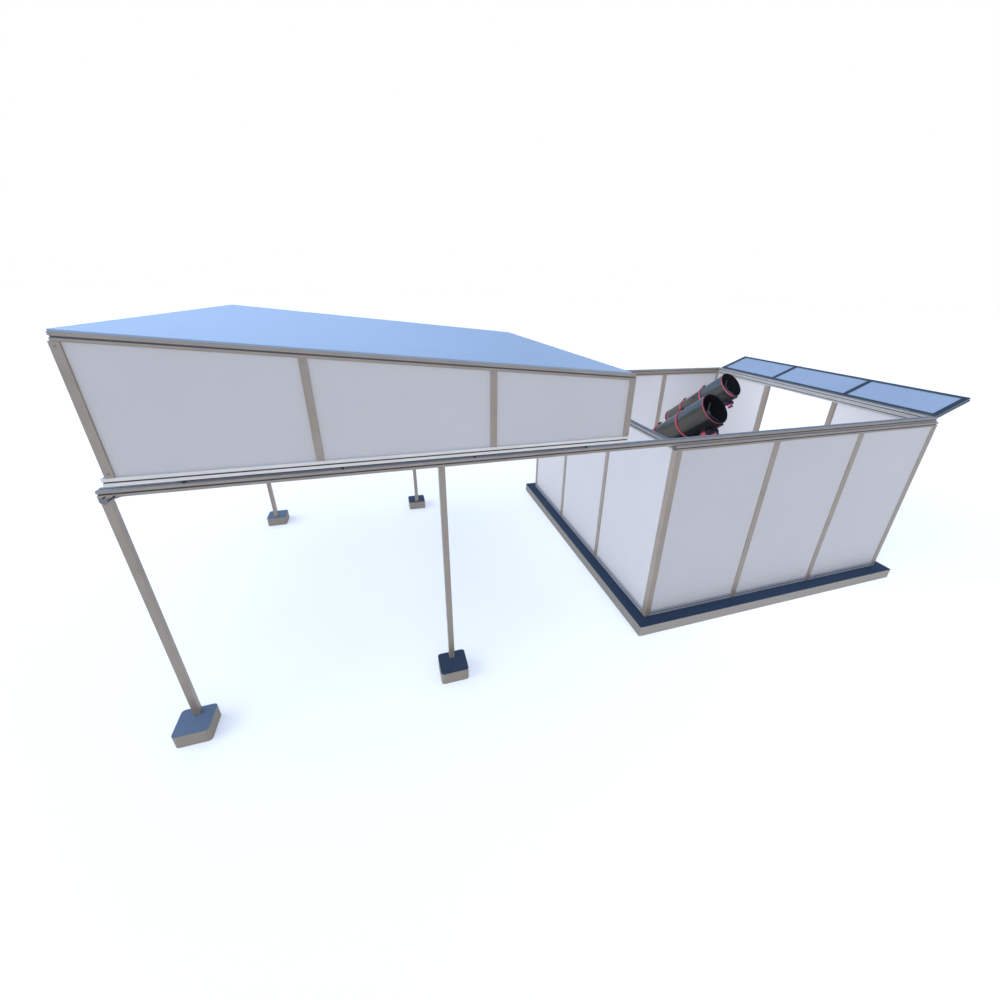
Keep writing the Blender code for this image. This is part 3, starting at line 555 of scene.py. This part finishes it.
# The outer runway posts' pointed plates. Each slot runs between two points in XZ, with its half width
bracket = {"post": 0.045, "drop": 0.026, "point": 0.040, "shoulder": 0.018, "leg": 0.062, "plate": 0.004,
           "head": 0.008, "core": 0.012, "coreInset": 0.005, "shadeHalf": 0.0002,
           # each slot below is drawn as a thin black plate of painted shade on the plate's faces
           "slots": (((-5.388, 1.892), (-5.374, 1.9005), 0.0035),
                     ((-5.3685, 1.8745), (-5.3300, 1.9005), 0.0042))}


def plateInto(shape, loop, rows):
    # adds a flat plate with an outline in the XZ plane
    near, far = ([shape.verts.new((x, row, z)) for x, z in loop] for row in rows)
    shape.faces.new(near)
    shape.faces.new(reversed(far))
    for index in range(len(loop)):
        after = (index + 1) % len(loop)
        shape.faces.new((near[after], near[index], far[index], far[after]))


def oblong(start, end, radius, steps=5):
    # the outline of a round-ended slot between two points
    first, last = Vector(start), Vector(end)
    angle = math.atan2(last.y - first.y, last.x - first.x)
    loop = []
    for centre, turn in ((last, angle - math.pi / 2), (first, angle + math.pi / 2)):
        for index in range(steps + 1):
            at = turn + math.pi * index / steps
            loop.append((centre.x + radius * math.cos(at), centre.y + radius * math.sin(at)))
    return loop


def buildOuterPosts():
    # a plain post whose head sits between two pointed plates, each with a slotted hole drawn as painted shade
    for side in ("front", "back"):
        low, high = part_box(f"{side}_outer_post")
        start, end, top = low[0], low[0] + bracket["post"], high[2]
        across, middle = (low[1] + high[1]) / 2, (start + end) / 2
        post = bar("z", (start + bracket["post"] / 2, across, low[2]), top - bracket["head"] - low[2])
        loop = [(start, top), (start, top - bracket["drop"]), (middle, top - bracket["point"]),
                (end, top - bracket["shoulder"]), (end + bracket["leg"], top)]
        plates, core, holes = bmesh.new(), bmesh.new(), bmesh.new()
        plateInto(plates, loop, (low[1], low[1] + bracket["plate"]))
        plateInto(plates, loop, (high[1] - bracket["plate"], high[1]))
        plateInto(core, [loop[0], (middle, top - bracket["core"]), loop[4]],
                  (low[1] + bracket["coreInset"], high[1] - bracket["coreInset"]))
        for first, last, radius in bracket["slots"]:
            for face in (low[1], high[1]):
                plateInto(holes, oblong(first, last, radius),
                          (face - bracket["shadeHalf"], face + bracket["shadeHalf"]))
        profilePiece(f"{side}_outer_post_and_bracket", "building", f"{side}_outer_post",
                     [("runwayPost", [post], profileMetal)], meshPiece("plates", plates, bracketSteel),
                     meshPiece("core", core, bracketSteel), meshPiece("holes", holes, blackMetal))


def buildWalls():
    for side in ("front", "back"):
        low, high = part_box(f"{side}_wall_frame")
        posts, sills, across, level = wallBars(low, high, 0, True)
        beam = bar("x", (low[0], across, level), high[0] - low[0])
        profilePiece(f"{side}_wall_profiles", "building", f"{side}_wall_frame",
                     [("post", posts, profileMetal), ("sillX", sills, sillMetal),
                      ("rail", [beam], profileMetal)])
        low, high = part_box(f"{side}_rail")
        rail = bar("x", (low[0], (low[1] + high[1]) / 2, (low[2] + high[2]) / 2), high[0] - low[0])
        profilePiece(f"{side}_slotted_rail", "building", f"{side}_rail", [("rail", [rail], profileMetal)])
    posts, sills, across, level = wallBars(*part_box("left_wall_frame"), 1, False)
    inner = wall["half"] - wall["post"] - wall["gap"]
    profilePiece("left_wall_profiles", "building", "left_wall_frame",
                 [("post", posts, profileMetal), ("sillY", sills, sillMetal),
                  ("crossBeam", [bar("y", (across, -inner, level), 2 * inner)], wallBeamMetal)])
    across = wall["half"] - wall["post"] / 2
    beams = [bar("y", (across, -inner, level), 2 * inner),
             bar("y", (across, wall["railSeat"] - inner, wall["railTop"] - wall["beam"] / 2),
                 2 * (inner - wall["railSeat"]))]
    profilePiece("door_wall_header", "building", "right_wall_header", [("crossBeam", beams, beamMetal)],
                 headerHinges())
    for side in ("front", "back"):
        low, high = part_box(f"door_post_{side}")
        front = side == "front"
        centre = high[1] - wall["post"] / 2 if front else low[1] + wall["post"] / 2
        start = low[1] if front else centre + wall["post"] / 2
        post = bar("z", (across, centre, low[2]), high[2] - low[2])
        sill = bar("y", (across, start, low[2] + wall["sill"] / 2), high[1] - low[1] - wall["post"])
        profilePiece(f"door_post_{side}_profiles", "building", f"door_post_{side}",
                     [("post", [post], profileMetal), ("sillY", [sill], sillMetal)])


hinge = {"axis": (1.618, 0.0, 1.934), "tilt": math.radians(68.7), "stations": (-1.25, 0.0, 1.25),
         "length": 0.10, "barrel": 0.0098, "pin": 0.006, "pinHead": 0.004, "play": 0.0005, "round": 0.001,
         "face": 1.6002, "leaf": (-0.036, -0.002), "plateFace": 1.6032, "plateHalf": 0.045,
         "plate": (-0.040, -0.006), "knuckle": (-0.006, 0.0085, 0.032)}


def roundInto(shape, made, edges, bevel, clamp):
    # rounds some edges of a new solid, and gives back all its points
    result = bmesh.ops.bevel(shape, geom=list(set(edges)), offset=bevel, segments=2, profile=0.5,
                             affect="EDGES", clamp_overlap=clamp)
    return list({vert for face in result["faces"] for vert in face.verts} | {v for v in made if v.is_valid})


def boxInto(shape, place, low, high, bevel=0.0):
    # adds a box with small edge rounds to a bmesh
    made = bmesh.ops.create_cube(shape, size=1)["verts"]
    size = [high[index] - low[index] for index in range(3)]
    middle = [(high[index] + low[index]) / 2 for index in range(3)]
    bmesh.ops.transform(shape, matrix=Matrix.Translation(middle) @ Matrix.Diagonal((*size, 1)), verts=made)
    if bevel:
        made = roundInto(shape, made, [edge for vert in made for edge in vert.link_edges], bevel, True)
    bmesh.ops.transform(shape, matrix=place, verts=made)


def rodInto(shape, place, radius, start, end, sides=24, bevel=0.0):
    # adds a round bar along Z to a bmesh
    made = bmesh.ops.create_cone(shape, cap_ends=True, segments=sides, radius1=radius, radius2=radius,
                                 depth=end - start)["verts"]
    bmesh.ops.transform(shape, matrix=Matrix.Translation((0, 0, (start + end) / 2)), verts=made)
    if bevel:
        ends = [edge for vert in made for edge in vert.link_edges
                if abs(edge.verts[0].co.z - edge.verts[1].co.z) < 1e-6]
        made = roundInto(shape, made, ends, bevel, False)
    bmesh.ops.transform(shape, matrix=place, verts=made)


def alongY(point):
    return Matrix.Translation(point) @ Matrix.Rotation(-math.pi / 2, 4, "X")


def headerHinges():
    # the fixed leaves and pins on the header's outer face
    shape, still = bmesh.new(), Matrix.Identity(4)
    x, z = hinge["axis"][::2]
    reach, half = hinge["length"] / 6 - hinge["play"], hinge["length"] / 2 + hinge["pinHead"]
    for station in hinge["stations"]:
        boxInto(shape, still, (hinge["face"], station - reach, z + hinge["leaf"][0]),
                (x - hinge["barrel"] * 0.3, station + reach, z + hinge["leaf"][1]), hinge["round"])
        rodInto(shape, alongY(hinge["axis"]), hinge["barrel"], station - reach, station + reach)
        rodInto(shape, alongY(hinge["axis"]), hinge["pin"], station - half, station + half,
                bevel=hinge["round"])
        boxInto(shape, still, (hinge["face"], station - hinge["plateHalf"], z + hinge["plate"][0]),
                (hinge["plateFace"], station + hinge["plateHalf"], z + hinge["plate"][1]), hinge["round"])
    return meshPiece("hinge_leaves", shape, zinc)


buildOuterPosts()
buildWalls()
print("stage: walls")

# Roof: a bottom chord that reaches past the tall end, sloping top chords, posts and mullions
roof = {"start": -5.343, "end": -2.062, "mullions": (-4.275, -3.159), "foot": 1.957, "chord": 0.05,
        "chordReach": 0.02, "topStart": -5.332, "high": 2.727, "low": 2.431, "profile": 0.045,
        "face": 1.58, "mullionDepth": 0.0117, "gap": 0.0003, "endDrop": 0.003, "endShift": 0.006,
        "lowBeamLift": 0.001}
addSections({"footChord": (roof["chord"], roof["profile"], "-y", "+y", "+x"),
             "topChord": (roof["profile"], roof["profile"], "-y", "+y", "+x"),
             "roofPost": (roof["profile"], roof["profile"]),
             "mullion": (roof["profile"], roof["mullionDepth"]),
             "endChord": (roof["profile"], roof["chord"], "-x", "+x"),
             "endTop": (roof["profile"], roof["profile"], "-x", "+x", "-y"),
             "endMullion": (roof["mullionDepth"], roof["profile"])})


def roofEaves(x):
    return roof["high"] - (roof["high"] - roof["low"]) / (roof["end"] - roof["start"]) * (x - roof["start"])


def buildRoof():
    half, start, end = roof["profile"] / 2, roof["start"], roof["end"]
    slope = (roofEaves(end) - roofEaves(start)) / (end - start)
    chordTop, chordLevel = roof["foot"] + roof["chord"], roof["foot"] + roof["chord"] / 2
    for side, sign in (("front", -1), ("back", 1)):
        row = sign * (roof["face"] - half)
        foot = bar("x", (start - roof["chordReach"], row, chordLevel), end - start + roof["chordReach"])
        run = end - roof["topStart"]
        top = bar("x", (roof["topStart"], row, roofEaves(roof["topStart"]) + half), run, rise=slope * run)
        posts = [bar("z", (centre, row, chordTop), roofEaves(centre) - chordTop, tilt=slope)
                 for centre in (start + half, end - half)]
        front = sign * (roof["face"] - roof["mullionDepth"] / 2)
        mullions = [bar("z", (place + half, front, chordTop), roofEaves(place + half) - chordTop, tilt=slope)
                    for place in roof["mullions"]]
        profilePiece(f"roof_{side}_profiles", "roof", f"roof_{side}_frame",
                     [("footChord", [foot], highlightProfile), ("topChord", [top], profileMetal),
                      ("roofPost", posts, profileMetal), ("mullion", mullions, profileMetal)])
    reach = roof["face"] - roof["profile"] - roof["gap"]
    foot = bar("y", (start + half, -reach, chordLevel), 2 * reach)
    topLevel = roofEaves(roof["topStart"]) - roof["endDrop"]
    top = bar("y", (start + half + roof["endShift"], -reach, topLevel + half), 2 * reach)
    mullions = [bar("z", (start + roof["mullionDepth"] / 2, row, chordTop), topLevel - chordTop)
                for row in (-reach / 3, reach / 3)]
    profilePiece("roof_end_profiles", "roof", "roof_end_frame",
                 [("endChord", [foot], highlightProfile), ("endTop", [top], profileMetal),
                  ("endMullion", mullions, profileMetal)])
    beam = bar("y", (end - half, -reach, roofEaves(end) + half + roof["lowBeamLift"]), 2 * reach)
    profilePiece("roof_low_end_profile", "roof", "roof_low_beam", [("endTop", [beam], profileMetal)])


buildRoof()
print("stage: roof")

# End flap, drawn closed and upright, then laid open on its hinge
flap = {"half": 1.55, "height": 0.466, "thickness": 0.04, "face": 1.608, "bar": 0.0077, "rail": 0.035,
        "stile": 0.055, "mullion": 0.05, "mullionRow": 0.54}
addSections({"flapStile": (flap["thickness"], flap["stile"], "-y", "+y"),
             "flapRail": (flap["thickness"], flap["rail"]), "flapMullion": (flap["bar"], flap["mullion"])})


def flapTurn():
    place = Matrix.Translation(hinge["axis"])
    return place @ Matrix.Rotation(hinge["tilt"], 4, "Y") @ place.inverted()


def flapHinges():
    # two knuckles with a leaf each at every hinge
    shape = bmesh.new()
    x, z = hinge["axis"][::2]
    near, far, rise = hinge["knuckle"]
    for station in hinge["stations"]:
        for sign in (-1, 1):
            low, high = sorted(station + sign * reach
                               for reach in (hinge["length"] / 6 + hinge["play"], hinge["length"] / 2))
            rodInto(shape, alongY(hinge["axis"]), hinge["barrel"], low, high)
            boxInto(shape, Matrix.Identity(4), (x + near, low + hinge["play"], z),
                    (x + far, high - hinge["play"], z + rise), hinge["round"])
    return meshPiece("flap_knuckles", shape, zinc)


def buildFlap():
    z = hinge["axis"][2]
    middle = flap["face"] + flap["thickness"] / 2
    side = flap["half"] - flap["stile"] / 2
    inner = flap["half"] - flap["stile"]
    stiles = [bar("z", (middle, row, z), flap["height"]) for row in (-side, side)]
    rails = [bar("y", (middle, -inner, z + level), 2 * inner)
             for level in (flap["rail"] / 2, flap["height"] - flap["rail"] / 2)]
    mullions = [bar("z", (flap["face"] + flap["bar"] / 2, row, z + flap["rail"]),
                    flap["height"] - 2 * flap["rail"]) for row in (-flap["mullionRow"], flap["mullionRow"])]
    profilePiece("flap_profiles", "flap", "flap_frame",
                 [("flapStile", stiles, flapProfile), ("flapRail", rails, flapProfile),
                  ("flapMullion", mullions, flapProfile)], flapHinges(), turn=flapTurn())


buildFlap()
print("stage: flap")

# Telescopes. A turned part is a closed loop of radius and height. A rod is its radius, its start and end
# along its axis, its sides and its edge round. A box is two corners and its edge round
telescope = {"spots": {"east": (0.664, 0.688), "west": (-0.528, -0.383)}, "azimuth": math.radians(-76.7),
             "altitude": math.radians(40.7), "pivotHeight": 1.233, "reach": 0.25, "offset": 0.43}
tube = {"radius": 0.173, "length": 1.10, "wall": 0.004, "endRing": 0.015, "steps": 64,
        "sharp": math.radians(35)}
spider = {"depth": 0.14, "vaneStart": 0.024, "vaneHalf": 0.0008, "vaneRows": (0.020, 0.045), "gap": 0.002,
          "hub": (0.027, 0.012, 0.052, 32, 0.002), "stem": (0.012, -0.010, 0.014),
          "secondary": (0.036, -0.005, 0.005, 32),
          "drop": 0.012, "stretch": 1.35}
rings = {"middle": 0.515, "spacing": 0.375, "width": 0.019, "thickness": 0.0105, "gap": 0.0004,
         "round": 0.002, "saddle": (((-0.26, -0.05, 0.1905), (0.26, 0.05, 0.205), 0.002),
                    ((-0.255, -0.034, 0.2045), (0.255, 0.034, 0.216), 0.0015)),
         "footHalf": 0.032, "footReach": 0.034, "sink": 0.006, "lugHalf": 0.020, "lugReach": 0.004,
         "lugWiden": 0.003, "lugRound": 0.0015, "handle": 0.056, "lead": 0.015, "handleHalf": 0.0165,
         "handleStart": 0.003, "handleHeight": 0.0175, "handleRound": 0.006}
# how far each block stands out from the tube's skin, and where it lies along the tube
focuser = {"half": 0.0345, "plate": (0.986, 1.089, 0.0215), "base": (0.831, 0.893, 0.0355),
           "step": (0.891, 0.930, 0.0335), "body": (0.926, 0.984, 0.0615), "sink": 0.0015, "round": 0.003,
           "draw": (0.0295, 0.05, 0.088, 40, 0.0015), "cap": (0.0355, 0.0855, 0.1015, 40, 0.003),
           "knob": (0.0328, 0.0405, 0.0658, 36, 0.003), "knobRise": 0.034, "axle": (0.0075, 16),
           "centre": 0.45, "centreDepth": (0.002, 0.0002)}
mount = {"head": ((0.070, -0.135, 0.150, 48, 0.004), (0.078, 0.146, 0.1895, 48, 0.004),
                  (0.060, -0.150, -0.130, 48, 0.003)),
         "collar": (0.089, -0.084, -0.030, 48, 0.004), "shaft": (0.016, -0.62, -0.14, 24, 0.002),
         "weights": ((0.108, -0.49, -0.392, 48, 0.006), (0.108, -0.595, -0.497, 48, 0.006)),
         "housing": ((0.088, -0.30, -0.0856, 48, 0.004), (0.080, -0.42, -0.296, 48, 0.006)),
         "plate": ((-0.12, -0.07, 0), (0.12, 0.07, 0.020), 0.002),
         "cheeks": (((-0.09, -0.068, 0.019), (0.115, -0.050, 0.168), 0.004),
                    ((-0.09, 0.050, 0.019), (0.115, 0.068, 0.168), 0.004)),
         "turntable": (0.055, 0.019, 0.06, 40, 0.003)}


def directionFrame(origin, up, forward):
    zAxis = up.normalized()
    yAxis = zAxis.cross(forward).normalized()
    xAxis = yAxis.cross(zAxis)
    return Matrix.Translation(origin) @ Matrix((xAxis, yAxis, zAxis)).transposed().to_4x4()


def rodPiece(name, material, place, *rods):
    shape = bmesh.new()
    for row in rods:
        rodInto(shape, place, *row)
    return meshPiece(name, shape, material)


def lathe(name, profile, material, place):
    # a turned body: smooth all round, with a crease wherever its profile bends sharply
    shape = bmesh.new()
    points = [shape.verts.new((radius, 0, height)) for radius, height in profile]
    edges = [shape.edges.new(ends) for ends in zip(points, points[1:] + points[:1])]
    bmesh.ops.spin(shape, geom=points + edges, cent=(0, 0, 0), axis=(0, 0, 1), angle=2 * math.pi,
                   steps=tube["steps"], use_merge=True)
    bmesh.ops.remove_doubles(shape, verts=shape.verts, dist=0.00002)
    flat = [face for face in shape.faces if face.calc_area() < 1e-10]
    bmesh.ops.delete(shape, geom=flat, context="FACES_ONLY")
    bmesh.ops.transform(shape, matrix=place, verts=shape.verts)
    bmesh.ops.recalc_face_normals(shape, faces=shape.faces)
    for face in shape.faces:
        face.smooth = True
    for edge in shape.edges:
        edge.smooth = len(edge.link_faces) != 2 or edge.calc_face_angle(0) <= tube["sharp"]
    return meshPiece(name, shape, material)


def buildTube(name, tail):
    out, bore, top = tube["radius"], tube["radius"] - tube["wall"], tube["length"]
    ring = top - tube["endRing"]
    turned = (
        ("shell", tubeSkin, [(bore, top - 0.004), (out, top - 0.004), (out, 0.022), (bore, 0.022)]),
        ("lining", flock, [(bore - 0.0002, top - 0.004), (bore - 0.0002, 0.032), (bore - 0.0012, 0.032),
                           (bore - 0.0012, top - 0.004)]),
        ("mouth", blackMetal, [(bore - 0.002, top), (out + 0.001, top), (out + 0.002, top - 0.001),
                               (out + 0.002, top - 0.0038), (bore - 0.002, top - 0.0038)]),
        ("rim", redMetal, [(out + 0.0025, top - 0.005), (out + 0.0035, top - 0.006), (out + 0.0035, ring),
                           (out + 0.0003, ring), (out + 0.0003, top - 0.005)]),
        ("cell", blackMetal, [(out + 0.002, 0.034), (out + 0.002, 0.004), (out - 0.002, 0.0), (0.0, 0.0),
                              (0.0, 0.028), (bore - 0.002, 0.028), (bore - 0.002, 0.034)]),
        ("band", redMetal, [(out + 0.0035, 0.050), (out + 0.0035, 0.037), (out + 0.0004, 0.037),
                            (out + 0.0004, 0.050)]),
        ("mirror", glass, [(0.0, 0.058), (0.152, 0.060), (0.154, 0.058), (0.154, 0.030), (0.0, 0.030)]))
    items = [lathe(part, loop, material, tail) for part, material, loop in turned]
    return joinPieces(f"{name}_optical_tube", [*items, *spiderParts(tail)])


def spiderParts(tail):
    # four thin vanes that hold the slanted secondary mirror
    seat = tail @ Matrix.Translation((0, 0, tube["length"] - spider["depth"]))
    inner = tube["radius"] - tube["wall"] - spider["gap"]
    (low, high), half = spider["vaneRows"], spider["vaneHalf"]
    vanes = bmesh.new()
    for index in range(4):
        turn = seat @ Matrix.Rotation(math.pi / 2 * index + math.pi / 4, 4, "Z")
        boxInto(vanes, turn, (spider["vaneStart"], -half, low), (inner, half, high))
    rodInto(vanes, seat, *spider["hub"])
    tilt = seat @ Matrix.Translation((0, 0, -spider["drop"])) @ Matrix.Rotation(-math.pi / 4, 4, "Y")
    oval = tilt @ Matrix.Diagonal((spider["stretch"], 1, 1, 1))
    return [meshPiece("vanes", vanes, spiderPaint),
            rodPiece("secondary", weightPaint, oval, spider["secondary"]),
            rodPiece("stem", blackMetal, seat, spider["stem"])]


def buildCradle(name, tail, along):
    # saddle plate, two clamp rings with a foot and a lug each, and a rounded handle bar on each lug
    outer = tube["radius"] + rings["gap"]
    far, rounded = outer + rings["thickness"], rings["round"]
    red, black = bmesh.new(), bmesh.new()
    for row in rings["saddle"]:
        boxInto(black, along, *row)
    items = []
    for sign in (-1, 1):
        place = rings["middle"] + sign * rings["spacing"] / 2
        low, high = place - rings["width"] / 2, place + rings["width"] / 2
        loop = [(outer, high), (far - rounded, high), (far, high - rounded), (far, low + rounded),
                (far - rounded, low), (outer, low)]
        items.append(lathe("ring", loop, redMetal, tail))
        boxInto(red, tail, (-far - rings["footReach"], -rings["footHalf"], low),
                (rings["sink"] - far, rings["footHalf"], high), rounded)
        boxInto(red, tail, (far - rings["sink"], -rings["lugHalf"], low - rings["lugWiden"]),
                (far + rings["lugReach"], rings["lugHalf"], high + rings["lugWiden"]), rings["lugRound"])
        middle, half, reach = place + rings["lead"], rings["handleHalf"], rings["handle"] / 2
        boxInto(black, tail, (far + rings["handleStart"], -half, middle - reach),
                (far + rings["handleHeight"], half, middle + reach), rings["handleRound"])
    return joinPieces(f"{name}_ring_cradle", [*items, meshPiece("ring_feet", red, redMetal),
                                              meshPiece("saddle_and_handles", black, blackMetal)])


def buildFocuser(name, tail):
    # a plate towards the mouth, a red base, the body with a knob on each side, and the capped drawtube
    black, red, plum = bmesh.new(), bmesh.new(), bmesh.new()
    radius, half = tube["radius"], focuser["half"]
    for shape, part in ((black, "plate"), (black, "body"), (red, "base"), (black, "step")):
        low, high, rise = focuser[part]
        boxInto(shape, tail, (-radius - rise, -half, low), (focuser["sink"] - radius, half, high),
                focuser["round"])
    place = (focuser["body"][0] + focuser["body"][1]) / 2
    draw = tail @ Matrix.Translation((-radius, 0, place)) @ Matrix.Rotation(-math.pi / 2, 4, "Y")
    rodInto(red, draw, *focuser["draw"])
    rodInto(plum, draw, *focuser["cap"])
    knob, start, end, *edge = focuser["knob"]
    axle = tail @ alongY((-radius - focuser["knobRise"], 0, place))
    inside, outside = focuser["centreDepth"]
    rodInto(black, axle, focuser["axle"][0], inside - end, end - inside, focuser["axle"][1])
    for side in (-1, 1):
        rodInto(plum, axle, knob, *sorted((side * start, side * end)), *edge)
        rodInto(black, axle, knob * focuser["centre"],
                *sorted((side * (end - inside), side * (end + outside))))
    return joinPieces(f"{name}_focuser_body", [meshPiece("blocks", black, blackMetal),
                                               meshPiece("base", red, redMetal),
                                               meshPiece("knobs", plum, plumMetal)])


def buildDeclination(name, along, polar):
    body = bmesh.new()
    for row in mount["head"]:
        rodInto(body, along, *row)
    rodInto(body, polar, *mount["collar"])
    return joinPieces(f"{name}_declination_housing", [
        meshPiece("housing", body, blackMetal), rodPiece("shaft", zinc, along, mount["shaft"]),
        rodPiece("weights", weightPaint, along, *mount["weights"])])


def buildMount(name, housing, base):
    shape = bmesh.new()
    for row in mount["housing"]:
        rodInto(shape, housing, *row)
    for row in (mount["plate"], *mount["cheeks"]):
        boxInto(shape, base, *row)
    rodInto(shape, base, *mount["turntable"])
    return meshPiece(f"{name}_mount_head", shape, blackMetal)


def buildTelescope(name, spot):
    upright = Vector((0, 0, 1))
    flat = Vector((math.cos(telescope["azimuth"]), math.sin(telescope["azimuth"]), 0))
    pole = flat * math.cos(telescope["altitude"]) + upright * math.sin(telescope["altitude"])
    up = (upright - pole * pole.z).normalized()
    pivot = Vector((*spot, telescope["pivotHeight"]))
    pivot += flat * telescope["reach"] * math.cos(telescope["altitude"])
    tail = directionFrame(pivot + up * telescope["offset"] - pole * tube["length"] / 2, pole, up)
    along, polar = directionFrame(pivot, up, pole), directionFrame(pivot, pole, up)
    base = directionFrame(Vector((*spot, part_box(f"{name}_pier")[1][2])), upright, flat)
    moving = f"{name}_telescope"
    finishPiece(buildTube(name, tail), moving, "tube", f"{name}_tube", f"{name}_mirror_cell")
    finishPiece(buildCradle(name, tail, along), moving, "red_metal", f"{name}_cradle")
    finishPiece(buildFocuser(name, tail), moving, "mount", f"{name}_focuser")
    finishPiece(buildDeclination(name, along, polar), f"{name}_head", "mount", f"{name}_declination_head")
    finishPiece(buildMount(name, directionFrame(pivot, pole, upright), base), "building", "mount",
                f"{name}_mount")


for telescopeName, telescopeSpot in telescope["spots"].items():
    buildTelescope(telescopeName, telescopeSpot)
print("stage: telescopes")

# Screws. One small head with a hexagon socket is placed on every point, turned outwards. The levels are
# rings of points from its rim to the floor of its socket, as radius and height
screw = {"sides": 12, "levels": ((1.0, -0.05), (1.0, 0.35), (0.75, 0.55), (0.45, 0.55), (0.45, 0.25)),
         "large": 0.0075, "small": 0.0055, "inset": 0.0225, "beamFoot": 1.846, "postDrops": (0.011, 0.032),
         "leafRows": (-0.034, 0.0, 0.034), "leafDrop": 0.030, "pierCount": 6, "pierStart": 30,
         "pierRadius": 0.158, "pierFlange": 0.020, "eaves": 0.001}
outwards = {"front": (math.pi / 2, 0, 0), "back": (-math.pi / 2, 0, 0), "left": (0, -math.pi / 2, 0),
            "right": (0, math.pi / 2, 0), "up": (0, 0, 0)}


def screwHead():
    count, levels = screw["sides"], screw["levels"]
    points, faces = [], []
    for level, (radius, height) in enumerate(levels):
        for index in range(count):
            angle = 2 * math.pi * index / count
            # every second point of the socket lies on the middle of a hexagon's side
            reach = radius * (math.cos(math.pi / 6) if level > 2 and index % 2 else 1)
            points.append((reach * math.cos(angle), reach * math.sin(angle), height))
            if level:
                after, below = (index + 1) % count, (level - 1) * count
                faces.append((below + index, below + after, level * count + after, level * count + index))
    faces.append(tuple(range((len(levels) - 1) * count, len(levels) * count)))
    faces.append(tuple(reversed(range(count))))
    mesh = bpy.data.meshes.new("screw_head")
    mesh.from_pydata(points, [], faces)
    return linkObject("screw_head", mesh)


def fastenerTree():
    entry, add = newTree("Fasteners", [("Head", "Object", None), ("Finish", "Material", None),
                                        ("Spin", "Float", 6.28), ("Seed", "Int", 7)])
    head = add("GeometryNodeObjectInfo", {"transform_space": "ORIGINAL"}, {"Object": entry.outputs["Head"]})
    turn, size = readAttributes(add, {"screwTurn": "FLOAT_VECTOR", "screwSize": "FLOAT"}).values()
    euler = add("FunctionNodeEulerToRotation", None, {0: turn})
    placed = add("GeometryNodeInstanceOnPoints", None,
                 {"Points": entry, "Instance": head.outputs["Geometry"], "Rotation": euler, "Scale": size})
    # each screw stopped at its own angle when it was tightened
    angle = add("FunctionNodeRandomValue", {"data_type": "FLOAT"},
                {"Max": entry.outputs["Spin"], "Seed": entry.outputs["Seed"]})
    axis = add("ShaderNodeCombineXYZ", None, {2: angle})
    spun = add("GeometryNodeRotateInstances", {"Local Space": True}, {"Instances": placed, "Rotation": axis})
    return closeTree(entry, add, spun)


def buildingScrews():
    # two at each post of a wall, near its foot and near its head, then the middle runway posts, the hinge
    # plates and the flanges of the piers
    points = []
    first = wall["half"] - wall["post"] / 2
    outer, inner = (-first, first), (-first / 3, first / 3)
    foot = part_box("front_wall_frame")[0][2]
    for side, sign, centres in (("front", -1, sorted(outer + inner)), ("back", 1, sorted(outer + inner)),
                                ("left", -1, inner), ("right", 1, inner)):
        for centre in centres:
            for height in (foot + screw["inset"], screw["beamFoot"] - screw["inset"]):
                row = (centre, sign * wall["half"])
                points.append(((*(row if side in ("front", "back") else row[::-1]), height), side))
    for side in ("front", "back"):
        low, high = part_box(f"{side}_middle_post")
        across = low[1] if side == "front" else high[1]
        points += [(((low[0] + high[0]) / 2, across, high[2] - drop), side) for drop in screw["postDrops"]]
    points += [((hinge["plateFace"], station + row, hinge["axis"][2] - screw["leafDrop"]), "right")
               for station in hinge["stations"] for row in screw["leafRows"]]
    for name in telescope["spots"]:
        low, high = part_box(f"{name}_pier")
        for index in range(screw["pierCount"]):
            angle = math.radians(screw["pierStart"]) + 2 * math.pi * index / screw["pierCount"]
            points.append((((low[0] + high[0]) / 2 + screw["pierRadius"] * math.cos(angle),
                            (low[1] + high[1]) / 2 + screw["pierRadius"] * math.sin(angle),
                            low[2] + screw["pierFlange"]), "up"))
    return points


def roofScrews():
    points = []
    half = roof["profile"] / 2
    centres = (roof["start"] + half, *[start + half for start in roof["mullions"]], roof["end"] - half)
    for side, across in (("front", -roof["face"]), ("back", roof["face"])):
        for centre in centres:
            for height in (roof["foot"] + roof["chord"] + screw["inset"],
                           roofEaves(centre) + screw["eaves"] - screw["inset"]):
                points.append(((centre, across, height), side))
    return points


def flapScrews():
    # drawn on the closed flap, on both its faces
    middle = flap["half"] - flap["stile"] / 2
    return [((face, row, hinge["axis"][2] + level), side) for row in (-middle, middle)
            for level in (screw["inset"], flap["height"] - screw["inset"])
            for side, face in (("left", flap["face"]), ("right", flap["face"] + flap["thickness"]))]


screwTree = fastenerTree()
unitHead = screwHead()
for body, points in (("building", buildingScrews()), ("roof", roofScrews()), ("flap", flapScrews())):
    columns = {"screwTurn": [outwards[side] for place, side in points],
               "screwSize": [screw["large" if side == "up" else "small"] for place, side in points]}
    piece = grow(f"{body}_screws", screwTree, [place for place, side in points], columns,
                 {"Head": unitHead, "Finish": zinc})
    if body == "flap":
        piece.data.transform(flapTurn())
    finishPiece(piece, body, "profile")
print("stage: screws")

# CAD nodes that keep their shape take the finished materials. The first name that fits counts
nodeMaterials = {"slab": slabConcrete, "roof_sheet": roofSkin, "flap_sheet": flapSkin,
                 "outer_foot": outerFootConcrete, "foot": middleFootConcrete, "panel": panelSkin,
                 "cladding": panelSkin, "rollers": nylon, "pier": pierPaint, "middle_post": profileMetal,
                 "outer_post": profileMetal}
for name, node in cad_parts.items():
    material = next((value for key, value in nodeMaterials.items() if key in name), None)
    if material is not None:
        for entry in node.material_slots:
            entry.material = material

for helper in (unitHead, *sections.values()):
    bpy.data.objects.remove(helper)
print("stage: finished")
